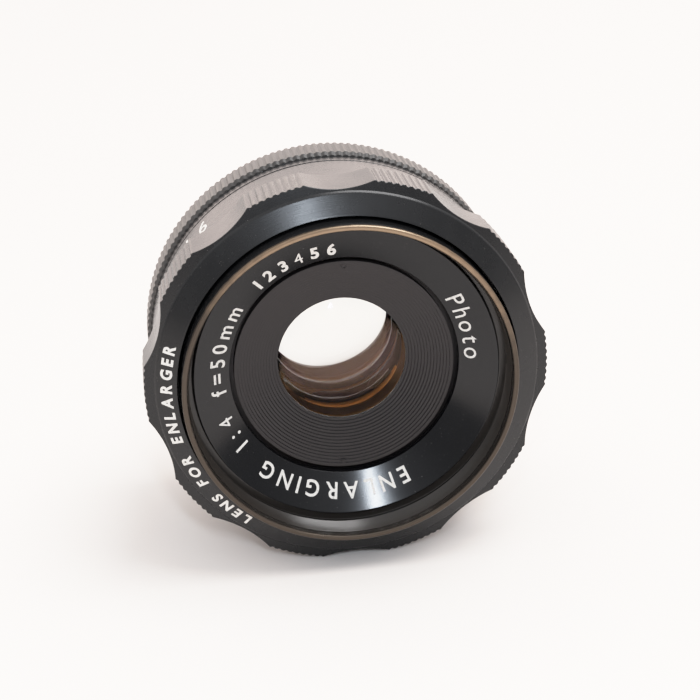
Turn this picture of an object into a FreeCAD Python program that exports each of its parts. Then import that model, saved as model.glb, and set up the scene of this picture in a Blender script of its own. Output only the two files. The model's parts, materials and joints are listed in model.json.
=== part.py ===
"""A 50 mm enlarging lens, lying on its side, as separate pieces.

Every piece is worked out in a turning frame: z runs forward along the optical axis from the
mounting flange, x to the right and y up, as seen from the front. Angles run anticlockwise from x.
seated() turns a finished piece into the part's own frame, where the front looks along -Y and +Z is up.
All sizes are in millimetres, and angles in degrees.
"""
import FreeCAD
import Part

import math
import os

from FreeCAD import Base

# ---- driving dimensions: outside -------------------------------------------------------------
BODY_RADIUS = 20.2            # smooth skirt of the aperture ring
COLLAR_STEP = 0.48            # rear knurled collar stands this much proud of the body
COLLAR_LENGTH = 4.14
BAND_LENGTH = 1.66            # fixed band with the index mark
RING_GAP = 0.15               # between the fixed band and the turning ring
SKIRT_LENGTH = 7.15
LAND_HEIGHT = 1.3             # knurled lands stand this much proud of the skirt
LAND_LENGTH = 5.0
LAND_TAPER = 0.45             # slope at the back of the lands
SCALLOP_COUNT = 10
SCALLOP_HALF_ANGLE = 9.74
SCALLOP_FLOOR = 0.4           # floor of a scallop above the skirt
NOSE_BEVEL_IN = 1.25          # bevel at the front corner: inwards and forwards
NOSE_BEVEL_OUT = 0.45
NOSE_HEIGHT = 1.5             # front corner of the lands to the ring's front edge
LIP_STANDOUT = 3.5            # front corner of the lands to the filter lip

# ---- driving dimensions: standard threads ----------------------------------------------------
MOUNT_THREAD_RADIUS = 19.5    # 39 mm, 26 turns per inch
MOUNT_THREAD_LENGTH = 4.6
MOUNT_WALL = 2.95
FILTER_THREAD_DEPTH = 0.15    # crest of the 34.5 mm filter thread inside its nominal radius
FILTER_WALL = 0.6
FILTER_BORE_LENGTH = 4.4      # lip back to the shoulder around the name ring
FILTER_RELIEF = 0.2           # relief groove behind the filter thread, around the name ring's edge
FILTER_RELIEF_AIR = 0.1       # front end of the relief in front of the name ring
LIP_ROUND = 0.12

# ---- driving dimensions: turning ring and barrel ---------------------------------------------
RING_WALL = 2.55
RING_RUN = 0.05               # radial running clearance of the aperture ring
RETAINER_STEP = 0.4           # counterbore of the ring for the front tube's flange
RETAINER_HEIGHT = 0.95
AXIAL_PLAY = 0.05
TUBE_GAP = 0.35               # between the front tube and the ring's front edge
BEARING_DROP = 4.1            # front corner of the lands back to the end of the bearing
NECK_STEP = 1.3
NECK_LENGTH = 1.4
FIT = 0.05                    # radial clearance of pieces that don't turn

# ---- driving dimensions: iris ----------------------------------------------------------------
BLADE_COUNT = 8
OPEN_RADIUS = 6.3
BLADE_WIDTH = 3.0
BLADE_ARC = 100.0
BLADE_TAIL = 6.0
BLADE_THICKNESS = 0.12
BLADE_PITCH = 0.2
BLADE_AIR = 0.08
PLATE_AIR = 0.1               # opening of the iris base outside the open blades
CAM_AIR = 0.3                 # opening of the cam ring outside the open blades
CAM_OVERRUN = 1.0             # how far a cam slot runs past each end of the travel
CAM_POINTS = 12
PIVOT_OUTSET = 0.9            # pivot circle outside the blades' outer edge
PIN_RADIUS = 0.25
PIN_RUN = 0.04
EAR_RADIUS = 0.45
DRIVE_OUTSET = 0.45
DRIVE_ANGLE = 24.0            # from a blade's pivot to its drive pin
RING_TRAVEL = 80.0
BLADE_RATIO = 0.34            # blade degrees for each degree of the ring
CAVITY_AIR = 0.2
BASE_RIM = 1.15
IRIS_DROP = 3.5               # rear end of the front cell back to the iris seat
BASE_PLATE = 0.6
CAM_PLATE = 0.6
CAM_WALL = 0.72
CAM_RUN = 0.05
CAM_TOP_WALL = 1.2            # rim of the cam ring in front of the drive screw
IRIS_CLIP = 0.3
IRIS_CLIP_WIDTH = 1.05

# ---- driving dimensions: drive screw, click and mount screws ---------------------------------
DRIVE_LEAD = 2.34             # cam ring's rear face forwards to the drive screw
DRIVE_DIRECTION = 300.0
DRIVE_RADIUS = 0.6
DRIVE_HEAD_RADIUS = 1.1
DRIVE_HEAD_DEPTH = 0.9
DRIVE_HEAD_HEIGHT = 0.72
DRIVE_SLOT_AIR = 0.08
SCREW_SLOT_WIDTH = 0.3
SCREW_SLOT_DEPTH = 0.35
CLICK_DROP = 2.8              # front end of the bearing back to the click ball
CLICK_DIRECTION = 60.0
CLICK_STOPS = 5
BALL_RADIUS = 0.5
BALL_AIR = 0.05
BALL_HOLE_AIR = 0.03
NOTCH_RADIUS = 0.6
BALL_TRAVEL = 0.2
SPRING_WIRE = 0.07
SPRING_RADIUS = 0.38
SPRING_TURNS = 4
SPRING_LENGTH = 1.7
MOUNT_SCREW_COUNT = 3
MOUNT_SCREW_RADIUS = 0.8
MOUNT_SCREW_HEAD = 1.4
MOUNT_SCREW_LENGTH = 3.6
MOUNT_SCREW_RECESS = 0.05

# ---- driving dimensions: glass and cells -----------------------------------------------------
FRONT_CLEAR = 7.0
FRONT_GLASS_RADIUS = 7.6
FRONT_CURVE = 15.5
FRONT_GLASS_EDGE = 0.88
MIDDLE_CLEAR_FRONT = 6.8
MIDDLE_CLEAR_BACK = 6.2
MIDDLE_CURVE_FRONT = 28.0
MIDDLE_CURVE_BACK = 14.5
MIDDLE_EDGE = 3.1
SPACER_HEIGHT = 0.46
SPACER_WIDTH = 0.65
SEAT_AIR = 0.02
CONE_DEPTH = 5.0              # front corner of the lands back to the front glass
CONE_HEIGHT = 2.1
CONE_STEP_COUNT = 14
CONE_OUTSET = 1.55            # edge of the stepped cone inside the barrel's bore
CONE_LAND = 0.4
CELL_LIP = 0.4
CELL_FLANGE_DROP = 1.2
CELL_TAIL_WALL = 1.75
CELL_OVERHANG = 0.25          # the cell's rear end behind its retaining ring
RETAINING_HEIGHT = 0.83
RETAINING_WIDTH = 1.3
SPANNER_WIDTH = 1.0
SPANNER_DEPTH = 0.5
REAR_GLASS_RADIUS = 6.3
REAR_CLEAR = 5.9
REAR_CURVE_FRONT = 60.0
REAR_CURVE_CEMENT = 15.0
REAR_CURVE_BACK = 20.0
REAR_SEAT_DROP = 0.55         # iris seat down to the rear glass's front face
REAR_FRONT_THICKNESS = 0.8
REAR_BACK_THICKNESS = 3.4
CEMENT_AIR = 0.01
REAR_CELL_RADIUS = 11.3
REAR_CELL_FLANGE = 13.2
REAR_CELL_TAIL = 10.6
REAR_CELL_LENGTH = 6.0        # flange face back to the end of the rear cell
REAR_CONE_RADIUS = 9.0
REAR_THREAD_RADIUS = 7.0
REAR_STEP_COUNT = 10
REAR_CONE_GAP = 0.2           # rear retaining ring back to the rear cone
BARREL_TAIL = 3.4             # flange face back to the barrel's rear face
MOUNT_WEB = 1.0

# ---- driving dimensions: name ring -----------------------------------------------------------
NAME_GROOVE = 0.8             # dark groove between the name ring and the filter thread
NAME_FALL = 2.5               # the funnel's drop from its outer to its inner edge
NAME_TOP_DROP = 0.25          # outer edge below the front corner of the lands
NAME_SKIRT = 0.75
NAME_INNER_GAP = 0.15

# ---- places along the axis -------------------------------------------------------------------
Z_BAND = COLLAR_LENGTH
Z_BAND_FRONT = Z_BAND + BAND_LENGTH
Z_RING_REAR = Z_BAND_FRONT + RING_GAP
Z_LAND_REAR = Z_RING_REAR + SKIRT_LENGTH
Z_LAND_FRONT = Z_LAND_REAR + LAND_LENGTH
Z_NOSE = Z_LAND_FRONT + NOSE_HEIGHT
Z_LIP = Z_LAND_FRONT + LIP_STANDOUT
Z_BEARING_TOP = Z_LAND_FRONT - BEARING_DROP
Z_NECK_TOP = Z_BEARING_TOP + NECK_LENGTH
CLICK_HEIGHT = Z_BEARING_TOP - CLICK_DROP
Z_NAME_TOP = Z_LAND_FRONT - NAME_TOP_DROP
Z_CONE_REAR = Z_LAND_FRONT - CONE_DEPTH
Z_CONE_FRONT = Z_CONE_REAR + CONE_HEIGHT


def sagitta(curve, radius):
    """How far a sphere's surface falls from its vertex at a radius."""
    return curve - math.sqrt(curve * curve - radius * radius)


Z_GLASS_SEAT = Z_CONE_REAR - CELL_LIP
FRONT_VERTEX = Z_GLASS_SEAT - SEAT_AIR + sagitta(FRONT_CURVE, FRONT_CLEAR)
FRONT_EDGE_TOP = FRONT_VERTEX - sagitta(FRONT_CURVE, FRONT_GLASS_RADIUS)
FRONT_BACK = FRONT_EDGE_TOP - FRONT_GLASS_EDGE
MIDDLE_TOP = FRONT_BACK - SPACER_HEIGHT - 2 * SEAT_AIR
MIDDLE_BACK = MIDDLE_TOP - MIDDLE_EDGE
CELL_REAR = MIDDLE_BACK - RETAINING_HEIGHT - CELL_OVERHANG
IRIS_SEAT = CELL_REAR - IRIS_DROP
Z_BLADES = IRIS_SEAT + BASE_PLATE + BLADE_AIR
Z_CAM = Z_BLADES + BLADE_COUNT * BLADE_PITCH + BLADE_AIR
DRIVE_HEIGHT = Z_CAM + DRIVE_LEAD
Z_CAM_RIM = DRIVE_HEIGHT + CAM_TOP_WALL

# ---- radii that follow -----------------------------------------------------------------------
BEARING_RADIUS = BODY_RADIUS - RING_WALL - RING_RUN
COUNTERBORE_RADIUS = BEARING_RADIUS + RING_RUN + RETAINER_STEP
TUBE_RADIUS = COUNTERBORE_RADIUS - TUBE_GAP
FILTER_BORE = TUBE_RADIUS - FILTER_WALL
NECK_RADIUS = BEARING_RADIUS - NECK_STEP
NAME_RADIUS = FILTER_BORE - NAME_GROOVE
TAIL_RADIUS = MOUNT_THREAD_RADIUS - MOUNT_WALL - FIT
BLADE_OUTER = OPEN_RADIUS + BLADE_WIDTH
PIVOT_CIRCLE = BLADE_OUTER + PIVOT_OUTSET
DRIVE_CIRCLE = BLADE_OUTER + DRIVE_OUTSET


def polar(radius, degrees):
    """The x and y of a point on a circle about the axis."""
    turn = math.radians(degrees)
    return radius * math.cos(turn), radius * math.sin(turn)


def drive_pin_at(ring_angle):
    """Where a drive pin stands when the ring has turned by ring_angle, for a blade with its pivot on x."""
    x, y = polar(DRIVE_CIRCLE, DRIVE_ANGLE)
    x -= PIVOT_CIRCLE
    swing = math.radians(-BLADE_RATIO * ring_angle)
    moved_x = PIVOT_CIRCLE + x * math.cos(swing) - y * math.sin(swing)
    moved_y = x * math.sin(swing) + y * math.cos(swing)
    return moved_x, moved_y


CAVITY_RADIUS = math.hypot(*drive_pin_at(RING_TRAVEL)) + EAR_RADIUS + CAVITY_AIR
BORE_RADIUS = CAVITY_RADIUS + BASE_RIM
CONE_RADIUS = BORE_RADIUS - CONE_OUTSET
FRONT = Base.Vector(0, 0, 1)
AXIS_POINT = Base.Vector(0, 0, 0)


# ---- making and writing ----------------------------------------------------------------------
def seated(shape):
    """A copy of a piece in the part's frame: the front along -Y and +Z up."""
    turned_piece = shape.copy()
    turned_piece.rotate(AXIS_POINT, Base.Vector(1, 0, 0), 90)
    return turned_piece


def export(name, shape):
    """Writes one piece, and stops if it isn't closed and sound."""
    if not shape.isValid() or shape.Volume <= 0:
        raise ValueError("bad solid: " + name)
    seated(shape).exportStep("parts/" + name + ".step")


def point(radius, height):
    return Base.Vector(radius, 0, height)


def turned(outline):
    """A piece turned about the axis. Each entry is (radius, z), or (via, end) for an arc through via."""
    edges = []
    here = outline[0]
    for entry in outline[1:] + outline[:1]:
        is_arc = isinstance(entry[0], tuple)
        end = entry[1] if is_arc else entry
        if is_arc:
            edges.append(Part.Arc(point(*here), point(*entry[0]), point(*end)).toShape())
        else:
            edges.append(Part.makeLine(point(*here), point(*end)))
        here = end
    face = Part.Face(Part.Wire(edges))
    whole = face.revolve(AXIS_POINT, FRONT, 360)
    return whole if isinstance(whole, Part.Solid) else Part.Solid(whole)


def rod(radius, low, high, x=0.0, y=0.0):
    """A cylinder along the axis's direction, between two heights."""
    return Part.makeCylinder(radius, high - low, Base.Vector(x, y, low), FRONT)


def radial_rod(radius, inner, outer, direction, height):
    """A cylinder that points away from the axis, between two distances from it."""
    x, y = polar(1, direction)
    start = Base.Vector(x * inner, y * inner, height)
    return Part.makeCylinder(radius, outer - inner, start, Base.Vector(x, y, 0))


def around(shape, degrees):
    """A copy turned about the optical axis."""
    moved = shape.copy()
    moved.rotate(AXIS_POINT, FRONT, degrees)
    return moved


def cut_all(shape, tools):
    for tool in tools:
        shape = shape.cut(tool)
    return shape


# ---- fixed pieces: mount, index band and barrel ----------------------------------------------
def mount_screw_places():
    """The x and y of the screws that hold the mount ring to the barrel."""
    circle = (REAR_CELL_FLANGE + FIT + TAIL_RADIUS) / 2
    return [polar(circle, 90 + 360 / MOUNT_SCREW_COUNT * k) for k in range(MOUNT_SCREW_COUNT)]


def mount_ring():
    """Knurled collar, mounting thread and an inner web for the screws."""
    inner = REAR_CELL_FLANGE + FIT
    web_rear = -BARREL_TAIL - MOUNT_WEB
    ring = turned([
        (inner, web_rear), (TAIL_RADIUS + FIT, web_rear), (TAIL_RADIUS + FIT, -MOUNT_THREAD_LENGTH),
        (MOUNT_THREAD_RADIUS, -MOUNT_THREAD_LENGTH), (MOUNT_THREAD_RADIUS, 0),
        (BODY_RADIUS + COLLAR_STEP, 0), (BODY_RADIUS + COLLAR_STEP, COLLAR_LENGTH),
        (TAIL_RADIUS + FIT, COLLAR_LENGTH), (TAIL_RADIUS + FIT, -BARREL_TAIL), (inner, -BARREL_TAIL),
    ])
    holes = []
    for x, y in mount_screw_places():
        holes.append(mount_screw_body(x, y, FIT))
    return cut_all(ring, holes)


def mount_screw_body(x, y, air):
    """A countersunk screw pointing forwards, or the hole for it when air is above 0."""
    face = -BARREL_TAIL - MOUNT_WEB
    rear = face + MOUNT_SCREW_RECESS
    mouth = face - MOUNT_SCREW_RECESS if air else rear
    neck = rear + MOUNT_SCREW_HEAD - MOUNT_SCREW_RADIUS
    top = face + MOUNT_SCREW_LENGTH + air
    outline = [
        (0, mouth), (MOUNT_SCREW_HEAD + air, mouth), (MOUNT_SCREW_HEAD + air, rear),
        (MOUNT_SCREW_RADIUS + air, neck), (MOUNT_SCREW_RADIUS + air, top), (0, top),
    ]
    if not air:
        del outline[2]
    screw = turned(outline)
    screw.translate(Base.Vector(x, y, 0))
    return screw


def mount_screws():
    """The screws with their driver slots, as one group of solids."""
    rear = -BARREL_TAIL - MOUNT_WEB + MOUNT_SCREW_RECESS
    screws = []
    for x, y in mount_screw_places():
        slot = Part.makeBox(2 * MOUNT_SCREW_HEAD, SCREW_SLOT_WIDTH, SCREW_SLOT_DEPTH)
        slot.translate(Base.Vector(x - MOUNT_SCREW_HEAD, y - SCREW_SLOT_WIDTH / 2, rear))
        screws.append(mount_screw_body(x, y, 0).cut(slot))
    return Part.makeCompound(screws)


def index_ring():
    """The narrow fixed band, held between the mount ring and the barrel's shoulder."""
    return turned([
        (TAIL_RADIUS + FIT, Z_BAND), (BODY_RADIUS, Z_BAND), (BODY_RADIUS, Z_BAND_FRONT),
        (TAIL_RADIUS + FIT, Z_BAND_FRONT),
    ])


def main_barrel():
    """The tube that carries every other piece, with the drive screw's slot and the ball's hole."""
    tail_bore = REAR_CELL_RADIUS + FIT
    barrel = turned([
        (tail_bore, -BARREL_TAIL), (TAIL_RADIUS, -BARREL_TAIL), (TAIL_RADIUS, Z_BAND_FRONT),
        (BEARING_RADIUS, Z_BAND_FRONT), (BEARING_RADIUS, Z_BEARING_TOP), (NECK_RADIUS, Z_BEARING_TOP),
        (NECK_RADIUS, Z_NECK_TOP), (BORE_RADIUS, Z_NECK_TOP), (BORE_RADIUS, IRIS_SEAT),
        (tail_bore, IRIS_SEAT),
    ])
    slot_air = DRIVE_RADIUS + DRIVE_SLOT_AIR
    inner, outer = BORE_RADIUS - 1, BEARING_RADIUS + 1
    low, high = DRIVE_HEIGHT - slot_air, DRIVE_HEIGHT + slot_air
    slot = turned([(inner, low), (outer, low), (outer, high), (inner, high)])
    slot = slot.common(wedge(outer + 1, low - 1, high + 1, DRIVE_DIRECTION, DRIVE_DIRECTION + RING_TRAVEL))
    ends = [DRIVE_DIRECTION, DRIVE_DIRECTION + RING_TRAVEL]
    slot_ends = [radial_rod(slot_air, inner, outer, end, DRIVE_HEIGHT) for end in ends]
    hole_floor = BEARING_RADIUS - 2 * BALL_RADIUS - SPRING_LENGTH - BALL_AIR
    ball_hole = radial_rod(BALL_RADIUS + BALL_HOLE_AIR, hole_floor, outer, CLICK_DIRECTION, CLICK_HEIGHT)
    threads = [mount_screw_body(x, y, FIT) for x, y in mount_screw_places()]
    return cut_all(barrel, [slot] + slot_ends + [ball_hole] + threads)


def wedge(radius, low, high, start, stop):
    """A sector of a disc, for cutting stretches of a ring."""
    first = Base.Vector(*polar(radius, start), low)
    middle = Base.Vector(*polar(radius, (start + stop) / 2), low)
    last = Base.Vector(*polar(radius, stop), low)
    centre = Base.Vector(0, 0, low)
    edges = [
        Part.makeLine(centre, first), Part.Arc(first, middle, last).toShape(), Part.makeLine(last, centre),
    ]
    return Part.Face(Part.Wire(edges)).extrude(Base.Vector(0, 0, high - low))


# ---- the aperture ring and what turns with it ------------------------------------------------
def aperture_ring():
    """Skirt, scalloped lands and coned nose, with the click notches in its bore."""
    bore = BEARING_RADIUS + RING_RUN
    land = BODY_RADIUS + LAND_HEIGHT
    ring = turned([
        (bore, Z_RING_REAR), (BODY_RADIUS, Z_RING_REAR), (BODY_RADIUS, Z_LAND_REAR - LAND_TAPER),
        (land, Z_LAND_REAR), (land, Z_LAND_FRONT), (land - NOSE_BEVEL_IN, Z_LAND_FRONT + NOSE_BEVEL_OUT),
        (COUNTERBORE_RADIUS, Z_NOSE), (COUNTERBORE_RADIUS, Z_BEARING_TOP), (bore, Z_BEARING_TOP),
    ])
    half_chord = land * math.sin(math.radians(SCALLOP_HALF_ANGLE))
    chord_radius = land * math.cos(math.radians(SCALLOP_HALF_ANGLE))
    floor_radius = BODY_RADIUS + SCALLOP_FLOOR
    depth = chord_radius - floor_radius
    scallop_radius = (half_chord ** 2 + depth ** 2) / (2 * depth)
    tools = []
    for k in range(SCALLOP_COUNT):
        x, y = polar(floor_radius + scallop_radius, 90 + 360 / SCALLOP_COUNT * k)
        tools.append(rod(scallop_radius, Z_LAND_REAR - LAND_TAPER, Z_NOSE, x, y))
    for k in range(CLICK_STOPS):
        step = RING_TRAVEL / (CLICK_STOPS - 1)
        x, y = polar(BEARING_RADIUS - BALL_RADIUS + BALL_TRAVEL, CLICK_DIRECTION - step * k)
        tools.append(Part.makeSphere(NOTCH_RADIUS, Base.Vector(x, y, CLICK_HEIGHT)))
    tools.append(radial_rod(DRIVE_RADIUS + FIT / 2, bore - 1, BODY_RADIUS, DRIVE_DIRECTION, DRIVE_HEIGHT))
    head_floor = BODY_RADIUS - DRIVE_HEAD_DEPTH
    head = DRIVE_HEAD_RADIUS + FIT
    tools.append(radial_rod(head, head_floor, BODY_RADIUS + 1, DRIVE_DIRECTION, DRIVE_HEIGHT))
    return cut_all(ring, tools)


def drive_screw():
    """Screw from the ring, through the barrel's slot, into the cam ring's rim."""
    inner = BORE_RADIUS - FIT - CAM_WALL
    head_floor = BODY_RADIUS - DRIVE_HEAD_DEPTH
    head_top = head_floor + DRIVE_HEAD_HEIGHT
    shank = radial_rod(DRIVE_RADIUS, inner, head_floor, DRIVE_DIRECTION, DRIVE_HEIGHT)
    screw = shank.fuse(radial_rod(DRIVE_HEAD_RADIUS, head_floor, head_top, DRIVE_DIRECTION, DRIVE_HEIGHT))
    slot = Part.makeBox(SCREW_SLOT_DEPTH, 2.2 * DRIVE_HEAD_RADIUS, SCREW_SLOT_WIDTH)
    slot.translate(Base.Vector(head_top - SCREW_SLOT_DEPTH, -1.1 * DRIVE_HEAD_RADIUS,
                               DRIVE_HEIGHT - SCREW_SLOT_WIDTH / 2))
    return screw.cut(around(slot, DRIVE_DIRECTION)).removeSplitter()


def cam_slot():
    """The slot of one cam, which follows its drive pin exactly, so that the blades turn in proportion."""
    half = PIN_RADIUS + PIN_RUN
    left, right, path = [], [], []
    for k in range(CAM_POINTS + 1):
        angle = -CAM_OVERRUN + (RING_TRAVEL + 2 * CAM_OVERRUN) * k / CAM_POINTS
        here = Base.Vector(*cam_frame(angle), 0)
        ahead = Base.Vector(*cam_frame(angle + 0.01), 0)
        along = (ahead - here).normalize()
        across = Base.Vector(-along.y, along.x, 0)
        path.append((here, along))
        left.append(here + across * half)
        right.append(here - across * half)
    sides = []
    for row in (left, right):
        curve = Part.BSplineCurve()
        curve.interpolate(row)
        sides.append(curve.toShape())
    first, first_along = path[0]
    last, last_along = path[-1]
    start_cap = Part.Arc(left[0], first - first_along * half, right[0]).toShape()
    end_cap = Part.Arc(left[-1], last + last_along * half, right[-1]).toShape()
    wire = Part.Wire(Part.sortEdges([sides[0], end_cap, sides[1], start_cap])[0])
    face = Part.Face(wire)
    slot = face.extrude(Base.Vector(0, 0, 2 * CAM_PLATE))
    slot.translate(Base.Vector(0, 0, Z_CAM - CAM_PLATE / 2))
    return slot


def cam_frame(ring_angle):
    """A drive pin's place as the cam ring sees it."""
    x, y = drive_pin_at(ring_angle)
    back = math.radians(-ring_angle)
    return x * math.cos(back) - y * math.sin(back), x * math.sin(back) + y * math.cos(back)


def cam_ring():
    """Plate with one curved slot for each blade, and a rim for the drive screw."""
    outer = BORE_RADIUS - FIT
    inner = OPEN_RADIUS + CAM_AIR
    ring = turned([
        (inner, Z_CAM), (outer, Z_CAM), (outer, Z_CAM_RIM), (outer - CAM_WALL, Z_CAM_RIM),
        (outer - CAM_WALL, Z_CAM + CAM_PLATE), (inner, Z_CAM + CAM_PLATE),
    ])
    slot = cam_slot()
    tools = [around(slot, 360 / BLADE_COUNT * k) for k in range(BLADE_COUNT)]
    tools.append(radial_rod(DRIVE_RADIUS + FIT / 2, inner, outer + 1, DRIVE_DIRECTION, DRIVE_HEIGHT))
    return cut_all(ring, tools)


# ---- iris ------------------------------------------------------------------------------------
def iris_base():
    """Seat of the iris: a plate with the pivot holes and a rim that carries the cam ring."""
    inner = OPEN_RADIUS + PLATE_AIR
    outer = BORE_RADIUS - FIT / 2
    plate_top = IRIS_SEAT + BASE_PLATE
    rim_top = Z_CAM - CAM_RUN
    base = turned([
        (inner, IRIS_SEAT), (outer, IRIS_SEAT), (outer, rim_top), (CAVITY_RADIUS, rim_top),
        (CAVITY_RADIUS, plate_top), (inner, plate_top),
    ])
    holes = []
    for k in range(BLADE_COUNT):
        x, y = polar(PIVOT_CIRCLE, 360 / BLADE_COUNT * k)
        holes.append(rod(PIN_RADIUS + PIN_RUN, IRIS_SEAT - 1, plate_top + 1, x, y))
    return cut_all(base, holes)


def blade_outline():
    """The flat shape of a blade whose pivot stands on x, as one solid of the blade's thickness."""
    body = Part.makeCylinder(BLADE_OUTER, BLADE_THICKNESS).cut(Part.makeCylinder(OPEN_RADIUS, BLADE_THICKNESS))
    body = body.common(wedge(BLADE_OUTER + 1, -1, BLADE_THICKNESS + 1, -BLADE_ARC, BLADE_TAIL))
    middle = OPEN_RADIUS + BLADE_WIDTH / 2
    tip = Part.makeCylinder(BLADE_WIDTH / 2, BLADE_THICKNESS, Base.Vector(*polar(middle, -BLADE_ARC), 0))
    pivot_x = PIVOT_CIRCLE
    boss = Part.makeCylinder(EAR_RADIUS, BLADE_THICKNESS, Base.Vector(pivot_x, 0, 0))
    neck = Part.makeBox(pivot_x - middle, 2 * EAR_RADIUS, BLADE_THICKNESS, Base.Vector(middle, -EAR_RADIUS, 0))
    drive_x, drive_y = polar(DRIVE_CIRCLE, DRIVE_ANGLE)
    length = math.hypot(drive_x - pivot_x, drive_y)
    ear = Part.makeBox(length, 2 * EAR_RADIUS, BLADE_THICKNESS, Base.Vector(0, -EAR_RADIUS, 0))
    ear.rotate(AXIS_POINT, FRONT, math.degrees(math.atan2(drive_y, drive_x - pivot_x)))
    ear.translate(Base.Vector(pivot_x, 0, 0))
    eye = Part.makeCylinder(EAR_RADIUS, BLADE_THICKNESS, Base.Vector(drive_x, drive_y, 0))
    return body.multiFuse([tip, boss, neck, ear, eye]).removeSplitter()


def iris_blade(number):
    """One blade at its own level, with its pivot pin behind and its drive pin in front."""
    low = Z_BLADES + BLADE_PITCH * number
    top = low + BLADE_THICKNESS
    flat = blade_outline()
    flat.translate(Base.Vector(0, 0, low))
    pivot = rod(PIN_RADIUS, IRIS_SEAT + BLADE_AIR, low + BLADE_THICKNESS / 2, PIVOT_CIRCLE, 0)
    drive_x, drive_y = polar(DRIVE_CIRCLE, DRIVE_ANGLE)
    drive = rod(PIN_RADIUS, top - BLADE_THICKNESS / 2, Z_CAM + CAM_PLATE - BLADE_AIR, drive_x, drive_y)
    return around(flat.multiFuse([pivot, drive]), 360 / BLADE_COUNT * number)


def iris_retaining_ring():
    """Thin ring in the bore that keeps the cam ring on its seat."""
    outer = BORE_RADIUS - FIT / 2
    low = Z_CAM_RIM + CAM_RUN
    return turned([
        (outer - IRIS_CLIP_WIDTH, low), (outer, low), (outer, low + IRIS_CLIP),
        (outer - IRIS_CLIP_WIDTH, low + IRIS_CLIP),
    ])


# ---- click stop ------------------------------------------------------------------------------
def click_ball():
    """Ball pressed back flush, just clear of the ring's bore."""
    x, y = polar(BEARING_RADIUS - BALL_RADIUS, CLICK_DIRECTION)
    return Part.makeSphere(BALL_RADIUS, Base.Vector(x, y, CLICK_HEIGHT))


def click_spring():
    """Coil spring between the floor of the hole and the ball."""
    height = SPRING_LENGTH - 2 * SPRING_WIRE - 2 * BALL_AIR
    helix = Part.makeHelix(height / SPRING_TURNS, height, SPRING_RADIUS)
    circle = Part.makeCircle(SPRING_WIRE, Base.Vector(SPRING_RADIUS, 0, 0), Base.Vector(0, 1, 0))
    coil = Part.Wire(helix.Edges).makePipeShell([Part.Wire([circle])], True, True)
    coil.rotate(AXIS_POINT, Base.Vector(0, 1, 0), 90)
    floor = BEARING_RADIUS - 2 * BALL_RADIUS - SPRING_LENGTH - BALL_AIR
    coil.translate(Base.Vector(floor + SPRING_WIRE + BALL_AIR, 0, CLICK_HEIGHT))
    return around(coil, CLICK_DIRECTION)


# ---- front cell, its glass and the front tube ------------------------------------------------
def front_cell():
    """Cell with the stepped cone in front, a flange that seats in the barrel, and a bore for the glass."""
    bore = FRONT_GLASS_RADIUS + FIT
    outer = BORE_RADIUS - FIT / 2
    tail = bore + CELL_TAIL_WALL
    flange_front = Z_CONE_FRONT - CELL_FLANGE_DROP
    flange_rear = Z_CAM_RIM + CAM_RUN + IRIS_CLIP + FIT
    outline = [(bore, CELL_REAR), (tail, CELL_REAR), (tail, flange_rear), (outer, flange_rear),
               (outer, flange_front), (CONE_RADIUS, flange_front), (CONE_RADIUS, Z_CONE_FRONT)]
    step_in = (CONE_RADIUS - CONE_LAND - FRONT_CLEAR) / CONE_STEP_COUNT
    step_down = CONE_HEIGHT / CONE_STEP_COUNT
    for k in range(CONE_STEP_COUNT):
        radius = CONE_RADIUS - CONE_LAND - step_in * k
        outline.append((radius, Z_CONE_FRONT - step_down * k))
        outline.append((radius, Z_CONE_FRONT - step_down * (k + 1)))
    outline += [(FRONT_CLEAR, Z_CONE_REAR), (FRONT_CLEAR, Z_GLASS_SEAT), (bore, Z_GLASS_SEAT)]
    cell = turned(outline)
    notches = []
    for direction in (90, 270):
        notch = Part.makeBox(2 * SPANNER_DEPTH, SPANNER_WIDTH / 2, CONE_HEIGHT,
                             Base.Vector(CONE_RADIUS - 3 * SPANNER_DEPTH, -SPANNER_WIDTH / 4,
                                         Z_CONE_FRONT - 2 * SPANNER_DEPTH))
        notches.append(around(notch, direction))
    return cut_all(cell, notches)


def front_lens():
    """Front glass, domed in front and flat behind."""
    edge = FRONT_GLASS_RADIUS
    half = edge / 2
    dome = ((half, FRONT_VERTEX - sagitta(FRONT_CURVE, half)), (0, FRONT_VERTEX))
    return turned([(0, FRONT_BACK), (edge, FRONT_BACK), (edge, FRONT_EDGE_TOP), dome])


def lens_spacer():
    edge = FRONT_GLASS_RADIUS
    low, high = MIDDLE_TOP + SEAT_AIR, FRONT_BACK - SEAT_AIR
    return turned([(edge - SPACER_WIDTH, low), (edge, low), (edge, high), (edge - SPACER_WIDTH, high)])


def middle_lens():
    """Biconcave glass."""
    edge = FRONT_GLASS_RADIUS
    top, back = MIDDLE_TOP, MIDDLE_BACK
    top_vertex = top - sagitta(MIDDLE_CURVE_FRONT, MIDDLE_CLEAR_FRONT)
    back_vertex = back + sagitta(MIDDLE_CURVE_BACK, MIDDLE_CLEAR_BACK)
    half_top, half_back = MIDDLE_CLEAR_FRONT / 2, MIDDLE_CLEAR_BACK / 2
    hollow_top = ((half_top, top_vertex + sagitta(MIDDLE_CURVE_FRONT, half_top)), (0, top_vertex))
    hollow_back = ((half_back, back_vertex - sagitta(MIDDLE_CURVE_BACK, half_back)), (MIDDLE_CLEAR_BACK, back))
    return turned([(0, back_vertex), hollow_back, (edge, back), (edge, top), (MIDDLE_CLEAR_FRONT, top),
                   hollow_top])


def slotted_ring(inner, outer, low, high, slot_side):
    """A retaining ring with two spanner slots, on its rear side when slot_side is -1."""
    ring = turned([(inner, low), (outer, low), (outer, high), (inner, high)])
    slot_low = low if slot_side < 0 else high - (high - low) / 2
    slot = Part.makeBox(2 * outer + 2, SPANNER_WIDTH, (high - low) / 2,
                        Base.Vector(-outer - 1, -SPANNER_WIDTH / 2, slot_low))
    return ring.cut(slot)


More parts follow.
